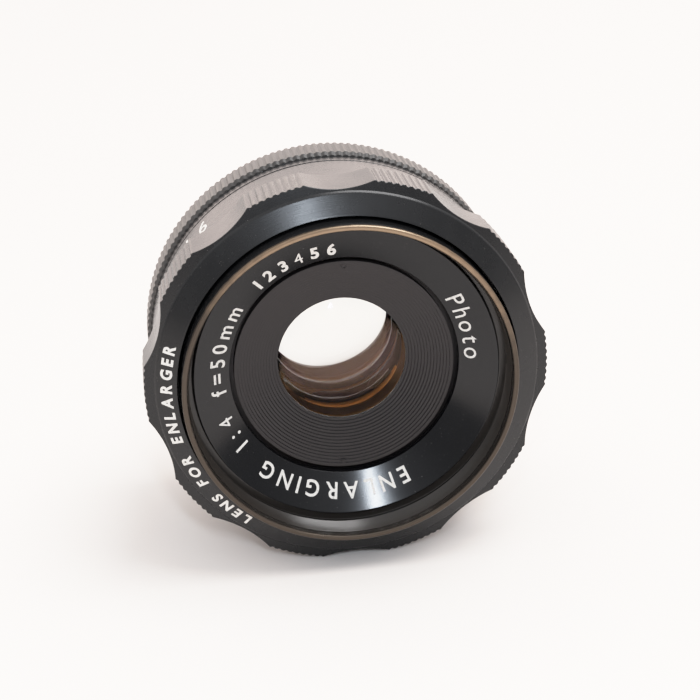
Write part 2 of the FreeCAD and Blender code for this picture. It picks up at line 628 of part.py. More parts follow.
def front_retaining_ring():
    edge = FRONT_GLASS_RADIUS
    top = MIDDLE_BACK - SEAT_AIR
    return slotted_ring(edge - RETAINING_WIDTH, edge, top - RETAINING_HEIGHT, top, -1)


def front_tube():
    """Filter tube, whose flange also keeps the aperture ring on the barrel."""
    flange_low = Z_BEARING_TOP + AXIAL_PLAY
    flange_high = flange_low + RETAINER_HEIGHT
    neck_bore = NAME_RADIUS + FIT
    step = Z_LIP - FILTER_BORE_LENGTH
    flange = COUNTERBORE_RADIUS - 2 * FIT
    lip_in, lip_out = FILTER_BORE + LIP_ROUND, TUBE_RADIUS - LIP_ROUND
    relief_top = Z_NAME_TOP + FILTER_RELIEF_AIR
    relief = FILTER_BORE + FILTER_RELIEF
    return turned([
        (neck_bore, flange_low), (flange, flange_low), (flange, flange_high), (TUBE_RADIUS, flange_high),
        (TUBE_RADIUS, Z_LIP - LIP_ROUND), (lip_out, Z_LIP), (lip_in, Z_LIP),
        (FILTER_BORE, Z_LIP - LIP_ROUND), (FILTER_BORE, relief_top), (relief, relief_top), (relief, step),
        (neck_bore, step),
    ])


def name_ring():
    """Funnel with the lettering, between the filter thread and the stepped cone."""
    inner = CONE_RADIUS + NAME_INNER_GAP
    z_inner = Z_NAME_TOP - NAME_FALL
    flat = Z_NECK_TOP + SEAT_AIR
    skirt = z_inner - NAME_SKIRT
    return turned([
        (inner, skirt), (BORE_RADIUS - FIT, skirt), (BORE_RADIUS - FIT, flat), (NAME_RADIUS, flat),
        (NAME_RADIUS, Z_NAME_TOP), (inner, z_inner),
    ])


# ---- rear cell and its glass -----------------------------------------------------------------
REAR_TOP = IRIS_SEAT - REAR_SEAT_DROP
REAR_TOP_VERTEX = REAR_TOP - sagitta(REAR_CURVE_FRONT, REAR_CLEAR)
CEMENT_VERTEX = REAR_TOP_VERTEX - REAR_FRONT_THICKNESS
CEMENT_EDGE = CEMENT_VERTEX - sagitta(REAR_CURVE_CEMENT, REAR_GLASS_RADIUS)
REAR_BACK_VERTEX = CEMENT_VERTEX - REAR_BACK_THICKNESS
REAR_BACK_EDGE = REAR_BACK_VERTEX + sagitta(REAR_CURVE_BACK, REAR_GLASS_RADIUS)
REAR_RING_TOP = REAR_BACK_VERTEX + sagitta(REAR_CURVE_BACK, REAR_CLEAR) - SEAT_AIR


def rear_cell():
    """Cell for the doublet, with a flange against the barrel and a cone behind the glass."""
    bore = REAR_GLASS_RADIUS + FIT
    lip_top = IRIS_SEAT - 2 * FIT
    thread_top = REAR_BACK_EDGE - SEAT_AIR
    ring_rear = REAR_RING_TOP - RETAINING_HEIGHT
    flange_rear = -BARREL_TAIL - MOUNT_WEB
    thread = REAR_THREAD_RADIUS + FIT
    outline = [
        (REAR_CLEAR, REAR_TOP + SEAT_AIR), (REAR_CLEAR, lip_top), (REAR_CELL_RADIUS, lip_top),
        (REAR_CELL_RADIUS, -BARREL_TAIL), (REAR_CELL_FLANGE, -BARREL_TAIL), (REAR_CELL_FLANGE, flange_rear),
        (REAR_CELL_TAIL, flange_rear), (REAR_CELL_TAIL, -REAR_CELL_LENGTH),
        (REAR_CONE_RADIUS, -REAR_CELL_LENGTH),
    ]
    cone_top = ring_rear - REAR_CONE_GAP
    for k in range(REAR_STEP_COUNT):
        radius = REAR_CONE_RADIUS + (thread - REAR_CONE_RADIUS) * (k + 1) / REAR_STEP_COUNT
        height = -REAR_CELL_LENGTH + (cone_top + REAR_CELL_LENGTH) * (k + 1) / REAR_STEP_COUNT
        outline.append((outline[-1][0], height))
        outline.append((radius, height))
    outline += [(thread, thread_top), (bore, thread_top), (bore, REAR_TOP + SEAT_AIR)]
    cell = turned(outline)
    slot = Part.makeBox(2 * REAR_CELL_FLANGE + 2, SPANNER_WIDTH, SPANNER_DEPTH,
                        Base.Vector(-REAR_CELL_FLANGE - 1, -SPANNER_WIDTH / 2, flange_rear))
    slot = slot.cut(rod(REAR_CELL_TAIL, flange_rear - 1, 0))
    return cell.cut(slot)


def rear_lens_front():
    """Front glass of the doublet: hollow in front, and hollow behind to take the back glass."""
    edge = REAR_GLASS_RADIUS
    half, half_edge = REAR_CLEAR / 2, edge / 2
    top_via = (half, REAR_TOP_VERTEX + sagitta(REAR_CURVE_FRONT, half))
    cement_via = (half_edge, CEMENT_VERTEX - sagitta(REAR_CURVE_CEMENT, half_edge))
    return turned([
        (0, CEMENT_VERTEX), (cement_via, (edge, CEMENT_EDGE)), (edge, REAR_TOP), (REAR_CLEAR, REAR_TOP),
        (top_via, (0, REAR_TOP_VERTEX)),
    ])


def rear_lens_back():
    """Back glass of the doublet, domed on both sides."""
    edge = REAR_GLASS_RADIUS
    half = edge / 2
    front_via = (half, CEMENT_VERTEX - CEMENT_AIR - sagitta(REAR_CURVE_CEMENT, half))
    back_via = (half, REAR_BACK_VERTEX + sagitta(REAR_CURVE_BACK, half))
    return turned([
        (0, REAR_BACK_VERTEX), (back_via, (edge, REAR_BACK_EDGE)), (edge, CEMENT_EDGE - CEMENT_AIR),
        (front_via, (0, CEMENT_VERTEX - CEMENT_AIR)),
    ])


def rear_retaining_ring():
    top = REAR_RING_TOP
    return slotted_ring(REAR_CLEAR, REAR_THREAD_RADIUS, top - RETAINING_HEIGHT, top, -1)


# ---- everything ------------------------------------------------------------------------------
PIECES = [
    mount_ring, mount_screws, index_ring, main_barrel, aperture_ring, drive_screw, cam_ring, iris_base,
    iris_retaining_ring, click_ball, click_spring, front_cell, front_lens, lens_spacer, middle_lens,
    front_retaining_ring, front_tube, name_ring, rear_cell, rear_lens_front, rear_lens_back,
    rear_retaining_ring,
]


def main():
    os.makedirs("parts", exist_ok=True)
    for make in PIECES:
        export(make.__name__, make())
    for number in range(BLADE_COUNT):
        export("iris_blade_" + str(number + 1), iris_blade(number))


main()
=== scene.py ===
"""Looks of a 50 mm enlarging lens: turned black metal, knurls, threads, lettering and coated glass.

The lens lies on its side, with its optical axis along Y and its front towards -Y. Outlines are closed
lists of (radius, forward) pairs in metres, where forward runs from the mounting flange to the front.
Angles are in degrees, anticlockwise from +X as seen from the front.
"""

import json
import math

import bmesh
import bpy
from bpy.props import FloatProperty, FloatVectorProperty, IntProperty, PointerProperty, StringProperty
from mathutils import Matrix, Vector


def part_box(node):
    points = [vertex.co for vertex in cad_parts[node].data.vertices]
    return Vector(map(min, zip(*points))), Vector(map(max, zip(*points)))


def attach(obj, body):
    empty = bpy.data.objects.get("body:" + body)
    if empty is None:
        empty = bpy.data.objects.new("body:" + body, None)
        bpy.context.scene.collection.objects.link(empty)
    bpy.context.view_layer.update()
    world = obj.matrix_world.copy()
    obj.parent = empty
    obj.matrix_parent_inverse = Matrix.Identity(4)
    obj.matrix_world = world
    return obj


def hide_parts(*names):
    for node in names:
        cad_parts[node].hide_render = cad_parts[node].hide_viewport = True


bl_info = {
    "name": "Enlarging lens",
    "version": (1, 0, 0),
    "blender": (4, 5, 0),
    "location": "3D View > Sidebar > Lens",
    "description": "Builds the visible pieces of a 50 mm enlarging lens around its packed frame",
    "category": "Object",
}

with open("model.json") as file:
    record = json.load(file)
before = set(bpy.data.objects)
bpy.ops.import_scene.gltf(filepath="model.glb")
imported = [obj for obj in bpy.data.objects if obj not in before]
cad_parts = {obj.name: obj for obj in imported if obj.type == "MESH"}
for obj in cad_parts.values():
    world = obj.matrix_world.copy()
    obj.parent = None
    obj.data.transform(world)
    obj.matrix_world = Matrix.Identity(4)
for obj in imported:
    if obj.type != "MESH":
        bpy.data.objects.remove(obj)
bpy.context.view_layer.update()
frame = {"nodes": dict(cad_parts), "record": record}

MM = 0.001
FULL_TURN = 360.0
WELD = 0.0004 * MM            # points nearer than this are one point
TURN_COLUMNS = 240            # columns of a turned piece
SHARP_ANGLE = math.radians(32)
CORNER_STEPS = 3              # straight stretches in a rounded corner
FIT = 0.05 * MM               # radial clearance between pieces that fit into each other
FINE_ROUND = 0.04 * MM        # broken edge of a small turned piece


# ---- places that the frame gives ---------------------------------------------------------------
class Extent:
    """Rear end, front end and outer radius of a CAD node that is turned about the axis."""

    def __init__(self, node):
        low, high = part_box(node)
        self.rear = -high.y
        self.front = -low.y
        self.radius = high.x


def mount_radius(name):
    """The stated radius of a threaded mount."""
    mount = next(m for m in frame["record"]["mounts"] if m["name"] == name)
    return mount["dims"]["r_mm"] * MM


MOUNT = Extent("mount_ring")
BAND = Extent("index_ring")
RING = Extent("aperture_ring")
TUBE = Extent("front_tube")
NAME = Extent("name_ring")
CELL = Extent("front_cell")
FRONT_GLASS = Extent("front_lens")
SPACER = Extent("lens_spacer")
MIDDLE_GLASS = Extent("middle_lens")
FRONT_RETAINER = Extent("front_retaining_ring")
REAR_CELL = Extent("rear_cell")
REAR_GLASS_FRONT = Extent("rear_lens_front")
REAR_GLASS_BACK = Extent("rear_lens_back")
REAR_RETAINER = Extent("rear_retaining_ring")
MOUNT_THREAD = mount_radius("mount_thread")
FILTER_BORE = mount_radius("filter_thread")


# ---- sizes and colours that a user would change ------------------------------------------------
def length(name, description, value):
    return FloatProperty(name=name, description=description, default=value, unit="LENGTH", precision=5)


def angle(name, description, degrees):
    return FloatProperty(name=name, description=description, default=math.radians(degrees), unit="ROTATION")


def colour(name, description, value):
    return FloatVectorProperty(name=name, description=description, default=value, subtype="COLOR", size=3,
                               min=0.0, max=1.0)


def count(name, description, value):
    return IntProperty(name=name, description=description, default=value, min=1)


def amount(name, description, value):
    return FloatProperty(name=name, description=description, default=value, min=0.0)


def text(name, description, value):
    return StringProperty(name=name, description=description, default=value)


class LensMountSettings(bpy.types.PropertyGroup):
    """Knurled collar, mounting thread and index band."""
    tooth_count: count("Collar teeth", "Knurl teeth around the collar", 165)
    tooth_depth: length("Tooth depth", "Depth of the collar's knurl", 0.13 * MM)
    collar_slant: length("Collar slant", "Slanted corner at the front of the collar", 0.33 * MM)
    thread_turns: count("Mount thread turns", "Turns of the mounting thread that show", 4)
    thread_depth: length("Mount thread depth", "Crest to root of the mounting thread", 0.5 * MM)
    wall: length("Mount wall", "Mounting thread's radius to the bore behind it", 2.9 * MM)
    web: length("Mount web", "Thickness of the web that the screws pass through", 1.0 * MM)
    web_step: length("Web step", "Rear end of the thread to the web", 0.2 * MM)
    index_angle: angle("Index angle", "Where the index line stands", 216)
    index_width: length("Index width", "Width of the white index line", 0.38 * MM)


class LensRingSettings(bpy.types.PropertyGroup):
    """Aperture ring: skirt, scalloped lands and nose."""
    skirt_length: length("Skirt length", "Rear end of the ring to the lands", 7.15 * MM)
    land_height: length("Land height", "Lands above the skirt", 1.3 * MM)
    land_length: length("Land length", "Length of the lands along the axis", 5.0 * MM)
    land_taper: length("Land taper", "Slope behind the lands", 0.45 * MM)
    scallop_count: count("Scallops", "Finger scallops around the ring", 10)
    scallop_angle: angle("Scallop half angle", "Half the angle that one scallop takes", 9.74)
    scallop_floor: length("Scallop floor", "Floor of a scallop above the skirt", 0.4 * MM)
    land_teeth: count("Teeth on a land", "Knurl teeth on each land", 8)
    tooth_depth: length("Tooth depth", "Depth of the lands' knurl", 0.12 * MM)
    bevel_in: length("Bevel inwards", "Bevel at the front corner, towards the axis", 1.25 * MM)
    bevel_out: length("Bevel forwards", "Bevel at the front corner, forwards", 0.45 * MM)
    nose_step: length("Nose step", "Height of the ramp between the bevel and the nose", 0.2 * MM)
    nose_ramp: length("Nose ramp", "Radial width of that ramp", 0.16 * MM)
    nose_wall: length("Nose wall", "Skirt's radius to the ring's mouth", 2.15 * MM)
    bore_wall: length("Bore wall", "Skirt's radius to the ring's bore", 2.55 * MM)
    bore_length: length("Bore length", "Rear end of the ring to its counterbore", 8.05 * MM)
    click_stops: count("Click stops", "Hollows that the click ball drops into", 5)
    click_angle: angle("Click angle", "Turn of the ring from one stop to the next", 20)
    click_rise: length("Click rise", "How far the ball rises into a hollow", 0.2 * MM)
    notch_radius: length("Notch radius", "Radius of a hollow", 0.6 * MM)


class LensFrontSettings(bpy.types.PropertyGroup):
    """Filter tube, name ring and stepped cone."""
    tube_wall: length("Tube wall", "Wall of the filter tube", 0.6 * MM)
    tube_bore_length: length("Tube bore length", "Lip to the shoulder around the name ring", 4.4 * MM)
    flange_height: length("Flange height", "Height of the tube's rear flange", 0.95 * MM)
    relief: length("Thread relief", "Depth of the groove around the name ring's edge", 0.2 * MM)
    relief_air: length("Relief clearance", "Name ring's edge to the front of the groove", 0.1 * MM)
    lip_round: length("Lip rounding", "Rounding of the filter tube's lip", 0.24 * MM)
    thread_pitch: length("Filter thread pitch", "One turn of the filter thread", 0.5 * MM)
    thread_depth: length("Filter thread depth", "Crest to root of the filter thread", 0.2 * MM)
    thread_turns: count("Filter thread turns", "Turns of the filter thread", 5)
    name_fall: length("Name ring fall", "Drop of the name ring's face towards the axis", 2.5 * MM)
    name_gap: length("Name ring gap", "Gap between the name ring and the stepped cone", 0.15 * MM)
    name_groove: length("Name ring groove", "Width of the dark groove inside the name ring", 0.34 * MM)
    cone_steps: count("Cone steps", "Steps of the cone around the front glass", 14)
    cone_height: length("Cone height", "Height of the stepped cone", 2.1 * MM)
    cone_outset: length("Cone outset", "Cell's outer radius to the cone's edge", 1.525 * MM)
    cone_land: length("Cone land", "Flat rim at the cone's edge", 0.4 * MM)
    clear_radius: length("Front opening", "Opening in front of the first glass", 7.0 * MM)
    cell_tail_wall: length("Cell tail wall", "Wall of the cell behind its flange", 1.75 * MM)
    flange_drop: length("Flange drop", "Front of the cone to the cell's flange", 1.2 * MM)
    flange_depth: length("Flange depth", "Length of the cell's flange", 4.0 * MM)


class LensGlassSettings(bpy.types.PropertyGroup):
    """Curves and apertures of the four glasses."""
    front_curve: length("Front curve", "Radius of the front glass's dome", 15.5 * MM)
    middle_front_curve: length("Middle front curve", "Radius of the middle glass's front hollow", 60.0 * MM)
    middle_back_curve: length("Middle back curve", "Radius of the middle glass's rear hollow", 24.0 * MM)
    middle_front_clear: length("Middle front clear", "Edge of the middle glass's front hollow", 6.8 * MM)
    middle_back_clear: length("Middle back clear", "Edge of the middle glass's rear hollow", 6.2 * MM)
    rear_front_curve: length("Rear front curve", "Radius of the doublet's front hollow", 60.0 * MM)
    cement_curve: length("Cement curve", "Radius of the doublet's cemented face", 15.0 * MM)
    rear_back_curve: length("Rear back curve", "Radius of the doublet's rear dome", 20.0 * MM)
    rear_clear: length("Rear clear", "Clear radius of the doublet", 5.9 * MM)
    spacer_width: length("Spacer width", "Radial width of the spacer ring", 0.65 * MM)
    retainer_width: length("Retainer width", "Radial width of the front cell's retaining ring", 1.3 * MM)
    seat_depth: length("Seat depth", "Glass seat behind the front opening", 0.4 * MM)


class LensRearSettings(bpy.types.PropertyGroup):
    """Rear cell and its cone."""
    flange_rear: length("Flange rear", "Mounting flange back to the cell's flange", 4.4 * MM)
    flange_front: length("Flange front", "Mounting flange back to the front of the cell's flange", 3.4 * MM)
    body_radius: length("Cell radius", "Rear cell's body inside the barrel", 11.3 * MM)
    tail_radius: length("Tail radius", "Rear cell's tail", 10.6 * MM)
    cone_radius: length("Cone radius", "Rear opening of the rear cone", 9.0 * MM)
    cone_steps: count("Cone steps", "Steps of the rear cone", 10)
    cone_gap: length("Cone gap", "Rear retaining ring to the rear cone", 0.2 * MM)


class LensLetterSettings(bpy.types.PropertyGroup):
    """Painted lettering and figures."""
    name_words: text("Lens words", "Words at the foot of the name ring", "ENLARGING")
    speed: text("Speed", "Largest opening", "1:4")
    focal_length: text("Focal length", "Focal length", "f=50mm")
    number: text("Number", "Six plain figures", "123456")
    side_word: text("Side word", "Word at the right of the name ring", "Photo")
    nose_words: text("Nose words", "Words on the aperture ring's nose", "LENS FOR ENLARGER")
    paint_depth: length("Paint depth", "How deep the paint sits", 0.04 * MM)
    paint_stand: length("Paint stand", "How far the paint stands proud", 0.02 * MM)


class LensColourSettings(bpy.types.PropertyGroup):
    """Colours of the finishes."""
    black: colour("Black", "Black anodised metal", (0.012, 0.012, 0.0125))
    knurl: colour("Knurl black", "Rubbed black of the collar's knurl", (0.055, 0.051, 0.048))
    gloss_black: colour("Gloss black", "Lacquered face of the name ring", (0.006, 0.006, 0.007))
    dull_black: colour("Dull black", "Cone and cells", (0.007, 0.0068, 0.0066))
    tube: colour("Tube black", "Thin black inside the filter tube", (0.034, 0.029, 0.025))
    # Bronze is painted mostly on the lip's lit top as a painted highlight, and tarnish on the rest, with
    # blotches of wear between them.
    tarnish: colour("Tarnish", "Brass of the lip, gone dull", (0.085, 0.07, 0.057))
    bronze: colour("Bronze", "Brass of the lip, rubbed bright", (0.29, 0.215, 0.15))
    brown: colour("Brown", "Thin black over brass inside the cells", (0.40, 0.19, 0.065))
    edge: colour("Ground edge", "Stained ground edges of the glasses", (0.20, 0.095, 0.04))
    paint: colour("Paint", "White paint in the engraving", (0.80, 0.775, 0.73))
    steel: colour("Steel", "Screws, ball and spring", (0.42, 0.40, 0.38))
    blade: colour("Blades", "Blackened iris blades", (0.055, 0.045, 0.038))


class LensStageSettings(bpy.types.PropertyGroup):
    """Floor, lights and camera."""
    floor_size: length("Floor size", "Side of the square floor", 6.0)
    floor_colour: colour("Floor colour", "Pale paper", (0.90, 0.845, 0.805))
    backdrop: amount("Backdrop", "Brightness behind the lens", 2.6)
    overhead: amount("Overhead", "Brightness above the lens", 1.05)
    front_fill: amount("Front fill", "Brightness on the camera's side", 0.41)
    lens_length: amount("Camera lens", "Focal length of the camera in millimetres", 87.31)
    roll: angle("Camera roll", "Turn of the camera about its own axis", -2.570655)


# ---- shader and geometry trees -----------------------------------------------------------------
class Wire:
    """An output socket. Arithmetic on it adds Math nodes to its tree."""

    def __init__(self, tree, socket):
        self.tree = tree
        self.socket = socket

    def maths(self, operation, *values):
        return self.tree.add("ShaderNodeMath", {"operation": operation}, dict(enumerate(values)))

    def __add__(self, other):
        return self.maths("ADD", self, other)

    def __radd__(self, other):
        return self.maths("ADD", other, self)

    def __sub__(self, other):
        return self.maths("SUBTRACT", self, other)

    def __rsub__(self, other):
        return self.maths("SUBTRACT", other, self)

    def __mul__(self, other):
        return self.maths("MULTIPLY", self, other)

    def __rmul__(self, other):
        return self.maths("MULTIPLY", other, self)

    def __truediv__(self, other):
        return self.maths("DIVIDE", self, other)

    def __rtruediv__(self, other):
        return self.maths("DIVIDE", other, self)

    def __pow__(self, other):
        return self.maths("POWER", self, other)

    def __neg__(self):
        return self.maths("MULTIPLY", self, -1.0)

    def rises(self, low, high):
        """0 below low and 1 above high, with a smooth step between them."""
        sockets = {"Value": self, "From Min": low, "From Max": high}
        return self.tree.add("ShaderNodeMapRange", {"interpolation_type": "SMOOTHSTEP"}, sockets)


class Tree:
    """Adds nodes to a shader tree or a geometry tree."""

    def __init__(self, tree):
        self.tree = tree

    def feed(self, socket, value):
        if isinstance(value, Wire):
            self.tree.links.new(value.socket, socket)
        elif socket.type == "RGBA":
            socket.default_value = (*value, 1.0)
        else:
            socket.default_value = value

    def node(self, kind, settings=None, inputs=None):
        """One node: its settings first, then the values or links of its sockets."""
        node = self.tree.nodes.new(kind)
        for name, value in (settings or {}).items():
            setattr(node, name, value)
        for key, value in (inputs or {}).items():
            self.feed(node.inputs[key], value)
        return node

    def add(self, kind, settings=None, inputs=None, output=0):
        """One output of a new node."""
        return Wire(self, self.node(kind, settings, inputs).outputs[output])

    def split(self, vector):
        """The X, Y and Z of a vector."""
        node = self.node("ShaderNodeSeparateXYZ", None, {"Vector": vector})
        return [Wire(self, socket) for socket in node.outputs]

    def blend(self, factor, first, second, way="MIX"):
        """A colour mixed from two colours."""
        settings = {"data_type": "RGBA", "blend_type": way}
        return self.add("ShaderNodeMix", settings, {0: factor, 6: first, 7: second}, output=2)


class Finish(Tree):
    """A material with a Principled shader, and the coordinates that turned metal needs."""

    def __init__(self, name, **constants):
        self.material = bpy.data.materials.new(name)
        self.material.use_nodes = True
        super().__init__(self.material.node_tree)
        self.tree.nodes.clear()
        self.shader = self.node("ShaderNodeBsdfPrincipled")
        self.node("ShaderNodeOutputMaterial", None, {"Surface": Wire(self, self.shader.outputs["BSDF"])})
        for socket, value in constants.items():
            self.set(socket.replace("_", " "), value)
        self.place = self.add("ShaderNodeTexCoord", output="Object")
        self.x, self.y, self.z = self.split(self.place)
        self.radius = (self.x * self.x + self.z * self.z) ** 0.5
        self.forward = -self.y
        self.turn = self.z.maths("ARCTAN2", self.z, self.x)

    def set(self, socket, value):
        self.feed(self.shader.inputs[socket], value)

    def noise(self, grain, detail):
        """Noise from 0 to 1 whose lumps are about one grain across."""
        sockets = {"Vector": self.place, "Scale": 1.0 / grain, "Detail": detail}
        return self.add("ShaderNodeTexNoise", None, sockets)

    def turning_marks(self, grain):
        """Noise drawn out around the axis, as a lathe tool leaves it."""
        drawn_out = 1.5
        inputs = {"X": self.radius / grain, "Y": self.forward / grain, "Z": self.turn * drawn_out}
        rings = self.add("ShaderNodeCombineXYZ", None, inputs)
        return self.add("ShaderNodeTexNoise", None, {"Vector": rings, "Scale": 1.0, "Detail": 3.0})

    def bump(self, height, depth):
        """Height from 0 to 1 as relief of the given depth."""
        sockets = {"Height": height, "Distance": depth, "Strength": 1.0}
        self.set("Normal", self.add("ShaderNodeBump", None, sockets))


# ---- finishes ----------------------------------------------------------------------------------
def shades(base, darkest, brightest=1.0):
    """A darker and a brighter shade of a colour."""
    return [part * darkest for part in base], [part * brightest for part in base]


def black_metal(name, base, roughness, mark_depth, spread=0.1, crest=None, index=1.47):
    """Black anodised metal with lathe marks, handling marks and dust, rubbed thin at a crest radius."""
    rubbed_tone = (0.13, 0.115, 0.1)
    dust_tone = (0.25, 0.23, 0.21)
    finish = Finish(name, IOR=index)
    handling = finish.noise(2.6 * MM, 4.0)
    marks = finish.turning_marks(0.09 * MM)
    dust = finish.noise(0.16 * MM, 1.0).rises(0.74, 0.8)
    tone = finish.blend(handling * 0.6 + marks * 0.4, *shades(base, 0.72, 1.35))
    if crest:
        rubbed = finish.radius.rises(crest - 0.05 * MM, crest) * handling.rises(0.3, 0.75)
        tone = finish.blend(rubbed * 0.55, tone, rubbed_tone)
    finish.set("Base Color", finish.blend(dust * 0.25, tone, dust_tone))
    finish.set("Roughness", roughness - spread / 2 + handling * spread + dust * 0.2)
    finish.bump(marks, mark_depth)
    return finish.material


def lacquered_brass(name, base, roughness):
    """Brass under old brown lacquer, or the ground edge of a glass that mirrors it."""
    finish = Finish(name, Metallic=0.85, Specular_Tint=(0.85, 0.5, 0.28))
    age = finish.noise(1.4 * MM, 3.0)
    marks = finish.turning_marks(0.12 * MM)
    finish.set("Base Color", finish.blend(age * 0.6 + marks * 0.4, *shades(base, 0.6)))
    finish.set("Roughness", roughness + age * 0.15)
    finish.bump(marks, 0.004 * MM)
    return finish.material


def worn_metal(name, base, inside, tarnish, bronze, lip, fall):
    """Black over brass: the lip is tarnished metal with blotches of wear, painted brighter towards its lit
    top as a painted highlight, and fades into black.
    """
    finish = Finish(name, IOR=1.5)
    marks = finish.turning_marks(0.07 * MM)
    blotches = finish.noise(1.1 * MM, 5.0)
    bare = (finish.forward + (blotches - 0.5) * fall).rises(lip - fall, lip - fall * 0.25)
    sideways, upwards = 0.17, 0.985    # where the lip's painted highlight is strongest: a little right of its top, towards the light
    lit_top = (finish.x * sideways + finish.z * upwards) / finish.radius
    # painted highlight and wear: the share of bright brass grows towards the lip's lit top, broken up by
    # blotches of wear
    rubbed = (lit_top + (blotches - 0.5) * 0.5).rises(0.25, 1.0)
    shade = finish.blend(marks, *shades((1.0, 1.0, 1.0), 0.72, 1.15))
    metal = finish.blend(1.0, finish.blend(rubbed, tarnish, bronze), shade, "MULTIPLY")
    within = finish.radius.rises(TUBE.radius - 0.5 * MM, FILTER_BORE + 0.1 * MM)
    finish.set("Base Color", finish.blend(bare, finish.blend(within, base, inside), metal))
    finish.set("Metallic", bare * 0.85)
    finish.set("Roughness", 0.16 + bare * 0.08 + blotches * 0.12)
    finish.bump(marks, 0.004 * MM)
    return finish.material


def white_paint(name, base):
    """Paint rubbed into engraving, a little chipped."""
    finish = Finish(name)
    chips = finish.noise(0.22 * MM, 3.0)
    finish.set("Base Color", finish.blend(chips.rises(0.3, 0.42), *shades(base, 0.62)))
    finish.set("Roughness", 0.45 + chips * 0.2)
    finish.bump(chips, 0.01 * MM)
    return finish.material


def optical_glass(name, tint, index):
    """Polished glass with a thin coating and a faint mark or two."""
    finish = Finish(name, Transmission_Weight=1.0, IOR=index, Thin_Film_Thickness=100.0, Thin_Film_IOR=1.38)
    smears = finish.noise(3.0 * MM, 3.0)
    finish.set("Base Color", finish.blend(smears, tint, (1.0, 1.0, 1.0)))
    finish.set("Roughness", smears.rises(0.6, 0.9) * 0.01)
    return finish.material


def plain_steel(name, base, roughness):
    """Turned steel."""
    finish = Finish(name, Metallic=1.0)
    stains = finish.noise(0.6 * MM, 3.0)
    finish.set("Base Color", finish.blend(stains, *shades(base, 0.75)))
    finish.set("Roughness", roughness + stains * 0.15)
    finish.bump(stains, 0.003 * MM)
    return finish.material


def paper(name, base):
    """The pale, faintly fibrous sheet under the lens."""
    finish = Finish(name, Roughness=0.95)
    fibres = finish.noise(0.8 * MM, 6.0)
    clouds = finish.noise(90 * MM, 2.0)
    finish.set("Base Color", finish.blend(fibres * 0.5 + clouds * 0.5, *shades(base, 0.985)))
    finish.bump(fibres, 0.02 * MM)
    return finish.material


def finish_named(name):
    """A finish by name. Each is made once, from the colours of the scene."""
    if name in bpy.data.materials:
        return bpy.data.materials[name]
    colours = bpy.context.scene.lens_colours
    front = bpy.context.scene.lens_front
    makers = {
        "satin_black": lambda: black_metal(name, colours.black, 0.27, 0.005 * MM, crest=RING.radius),
        "knurl_black": lambda: black_metal(name, colours.knurl, 0.4, 0.003 * MM, crest=MOUNT.radius),
        "gloss_black": lambda: black_metal(name, colours.gloss_black, 0.17, 0.001 * MM, spread=0.05),
        "dull_black": lambda: black_metal(name, colours.dull_black, 0.4, 0.006 * MM, index=1.28),
        "cell_brown": lambda: lacquered_brass(name, colours.brown, 0.5),
        "ground_edge": lambda: lacquered_brass(name, colours.edge, 0.42),
        "worn_lip": lambda: worn_metal(name, colours.black, colours.tube, colours.tarnish, colours.bronze,
                                       TUBE.front, front.thread_pitch),
        "white_paint": lambda: white_paint(name, colours.paint),
        "crown_glass": lambda: optical_glass(name, (0.99, 0.985, 0.97), 1.62),
        "flint_glass": lambda: optical_glass(name, (0.985, 0.98, 0.96), 1.60),
        "steel": lambda: plain_steel(name, colours.steel, 0.28),
        "blade_steel": lambda: plain_steel(name, colours.blade, 0.4),
    }
    return makers[name]()


# ---- mesh making -------------------------------------------------------------------------------
def at(radius, degrees, forward):
    """A point of the row frame."""
    turn = math.radians(degrees)
    return Vector((radius * math.cos(turn), -forward, radius * math.sin(turn)))


def rounded(outline, radius):
    """The outline with each corner off the axis replaced by a small arc."""
    nearly_straight = math.radians(165)
    longest_share = 0.45
    result = []
    for k, corner in enumerate(outline):
        here = Vector(corner)
        before = Vector(outline[k - 1]) - here
        after = Vector(outline[(k + 1) % len(outline)]) - here
        if corner[0] < WELD or before.angle(after) > nearly_straight:
            result.append(corner)
            continue
        room = longest_share * min(before.length, after.length)
        reach = min(radius / math.tan(before.angle(after) / 2), room)
        start = here + before.normalized() * reach
        end = here + after.normalized() * reach
        for step in range(CORNER_STEPS + 1):
            t = step / CORNER_STEPS
            result.append(tuple(start * (1 - t) ** 2 + here * (2 * t * (1 - t)) + end * t ** 2))
    return result


def sagitta(curve, radius):
    """How far a sphere's surface falls from its vertex at a radius."""
    return curve - math.sqrt(curve * curve - radius * radius)


def dome(curve, vertex, rim, bulge, steps=24):
    """Outline points from the rim to the axis over a glass surface. bulge is 1 when it falls rearwards."""
    radii = [rim * (1 - k / steps) for k in range(steps + 1)]
    return [(radius, vertex - bulge * sagitta(curve, radius)) for radius in radii]


def mesh_object(name, mesh):
    """An object from a bmesh, with its doubles merged and its faces pointing outwards."""
    bmesh.ops.remove_doubles(mesh, verts=mesh.verts, dist=WELD)
    bmesh.ops.recalc_face_normals(mesh, faces=mesh.faces)
    data = bpy.data.meshes.new(name)
    mesh.to_mesh(data)
    mesh.free()
    piece = bpy.data.objects.new(name, data)
    bpy.context.scene.collection.objects.link(piece)
    return piece


def columns_mesh(columns, closed=True):
    """A bmesh from (angle, outline) columns in order. closed joins the last column to the first."""
    mesh = bmesh.new()
    rows = []
    for degrees, outline in columns:
        rows.append([mesh.verts.new(at(radius, degrees, forward)) for radius, forward in outline])
    pairs = list(zip(rows, rows[1:]))
    if closed:
        pairs.append((rows[-1], rows[0]))
    for here, ahead in pairs:
        for k in range(len(here)):
            n = (k + 1) % len(here)
            mesh.faces.new((here[k], here[n], ahead[n], ahead[k]))
    return mesh


def turned(name, outline, rounding=0.0, columns=TURN_COLUMNS):
    """A piece turned about the axis."""
    shape = rounded(outline, rounding) if rounding else outline
    angles = [FULL_TURN * k / columns for k in range(columns)]
    return mesh_object(name, columns_mesh([(degrees, shape) for degrees in angles]))


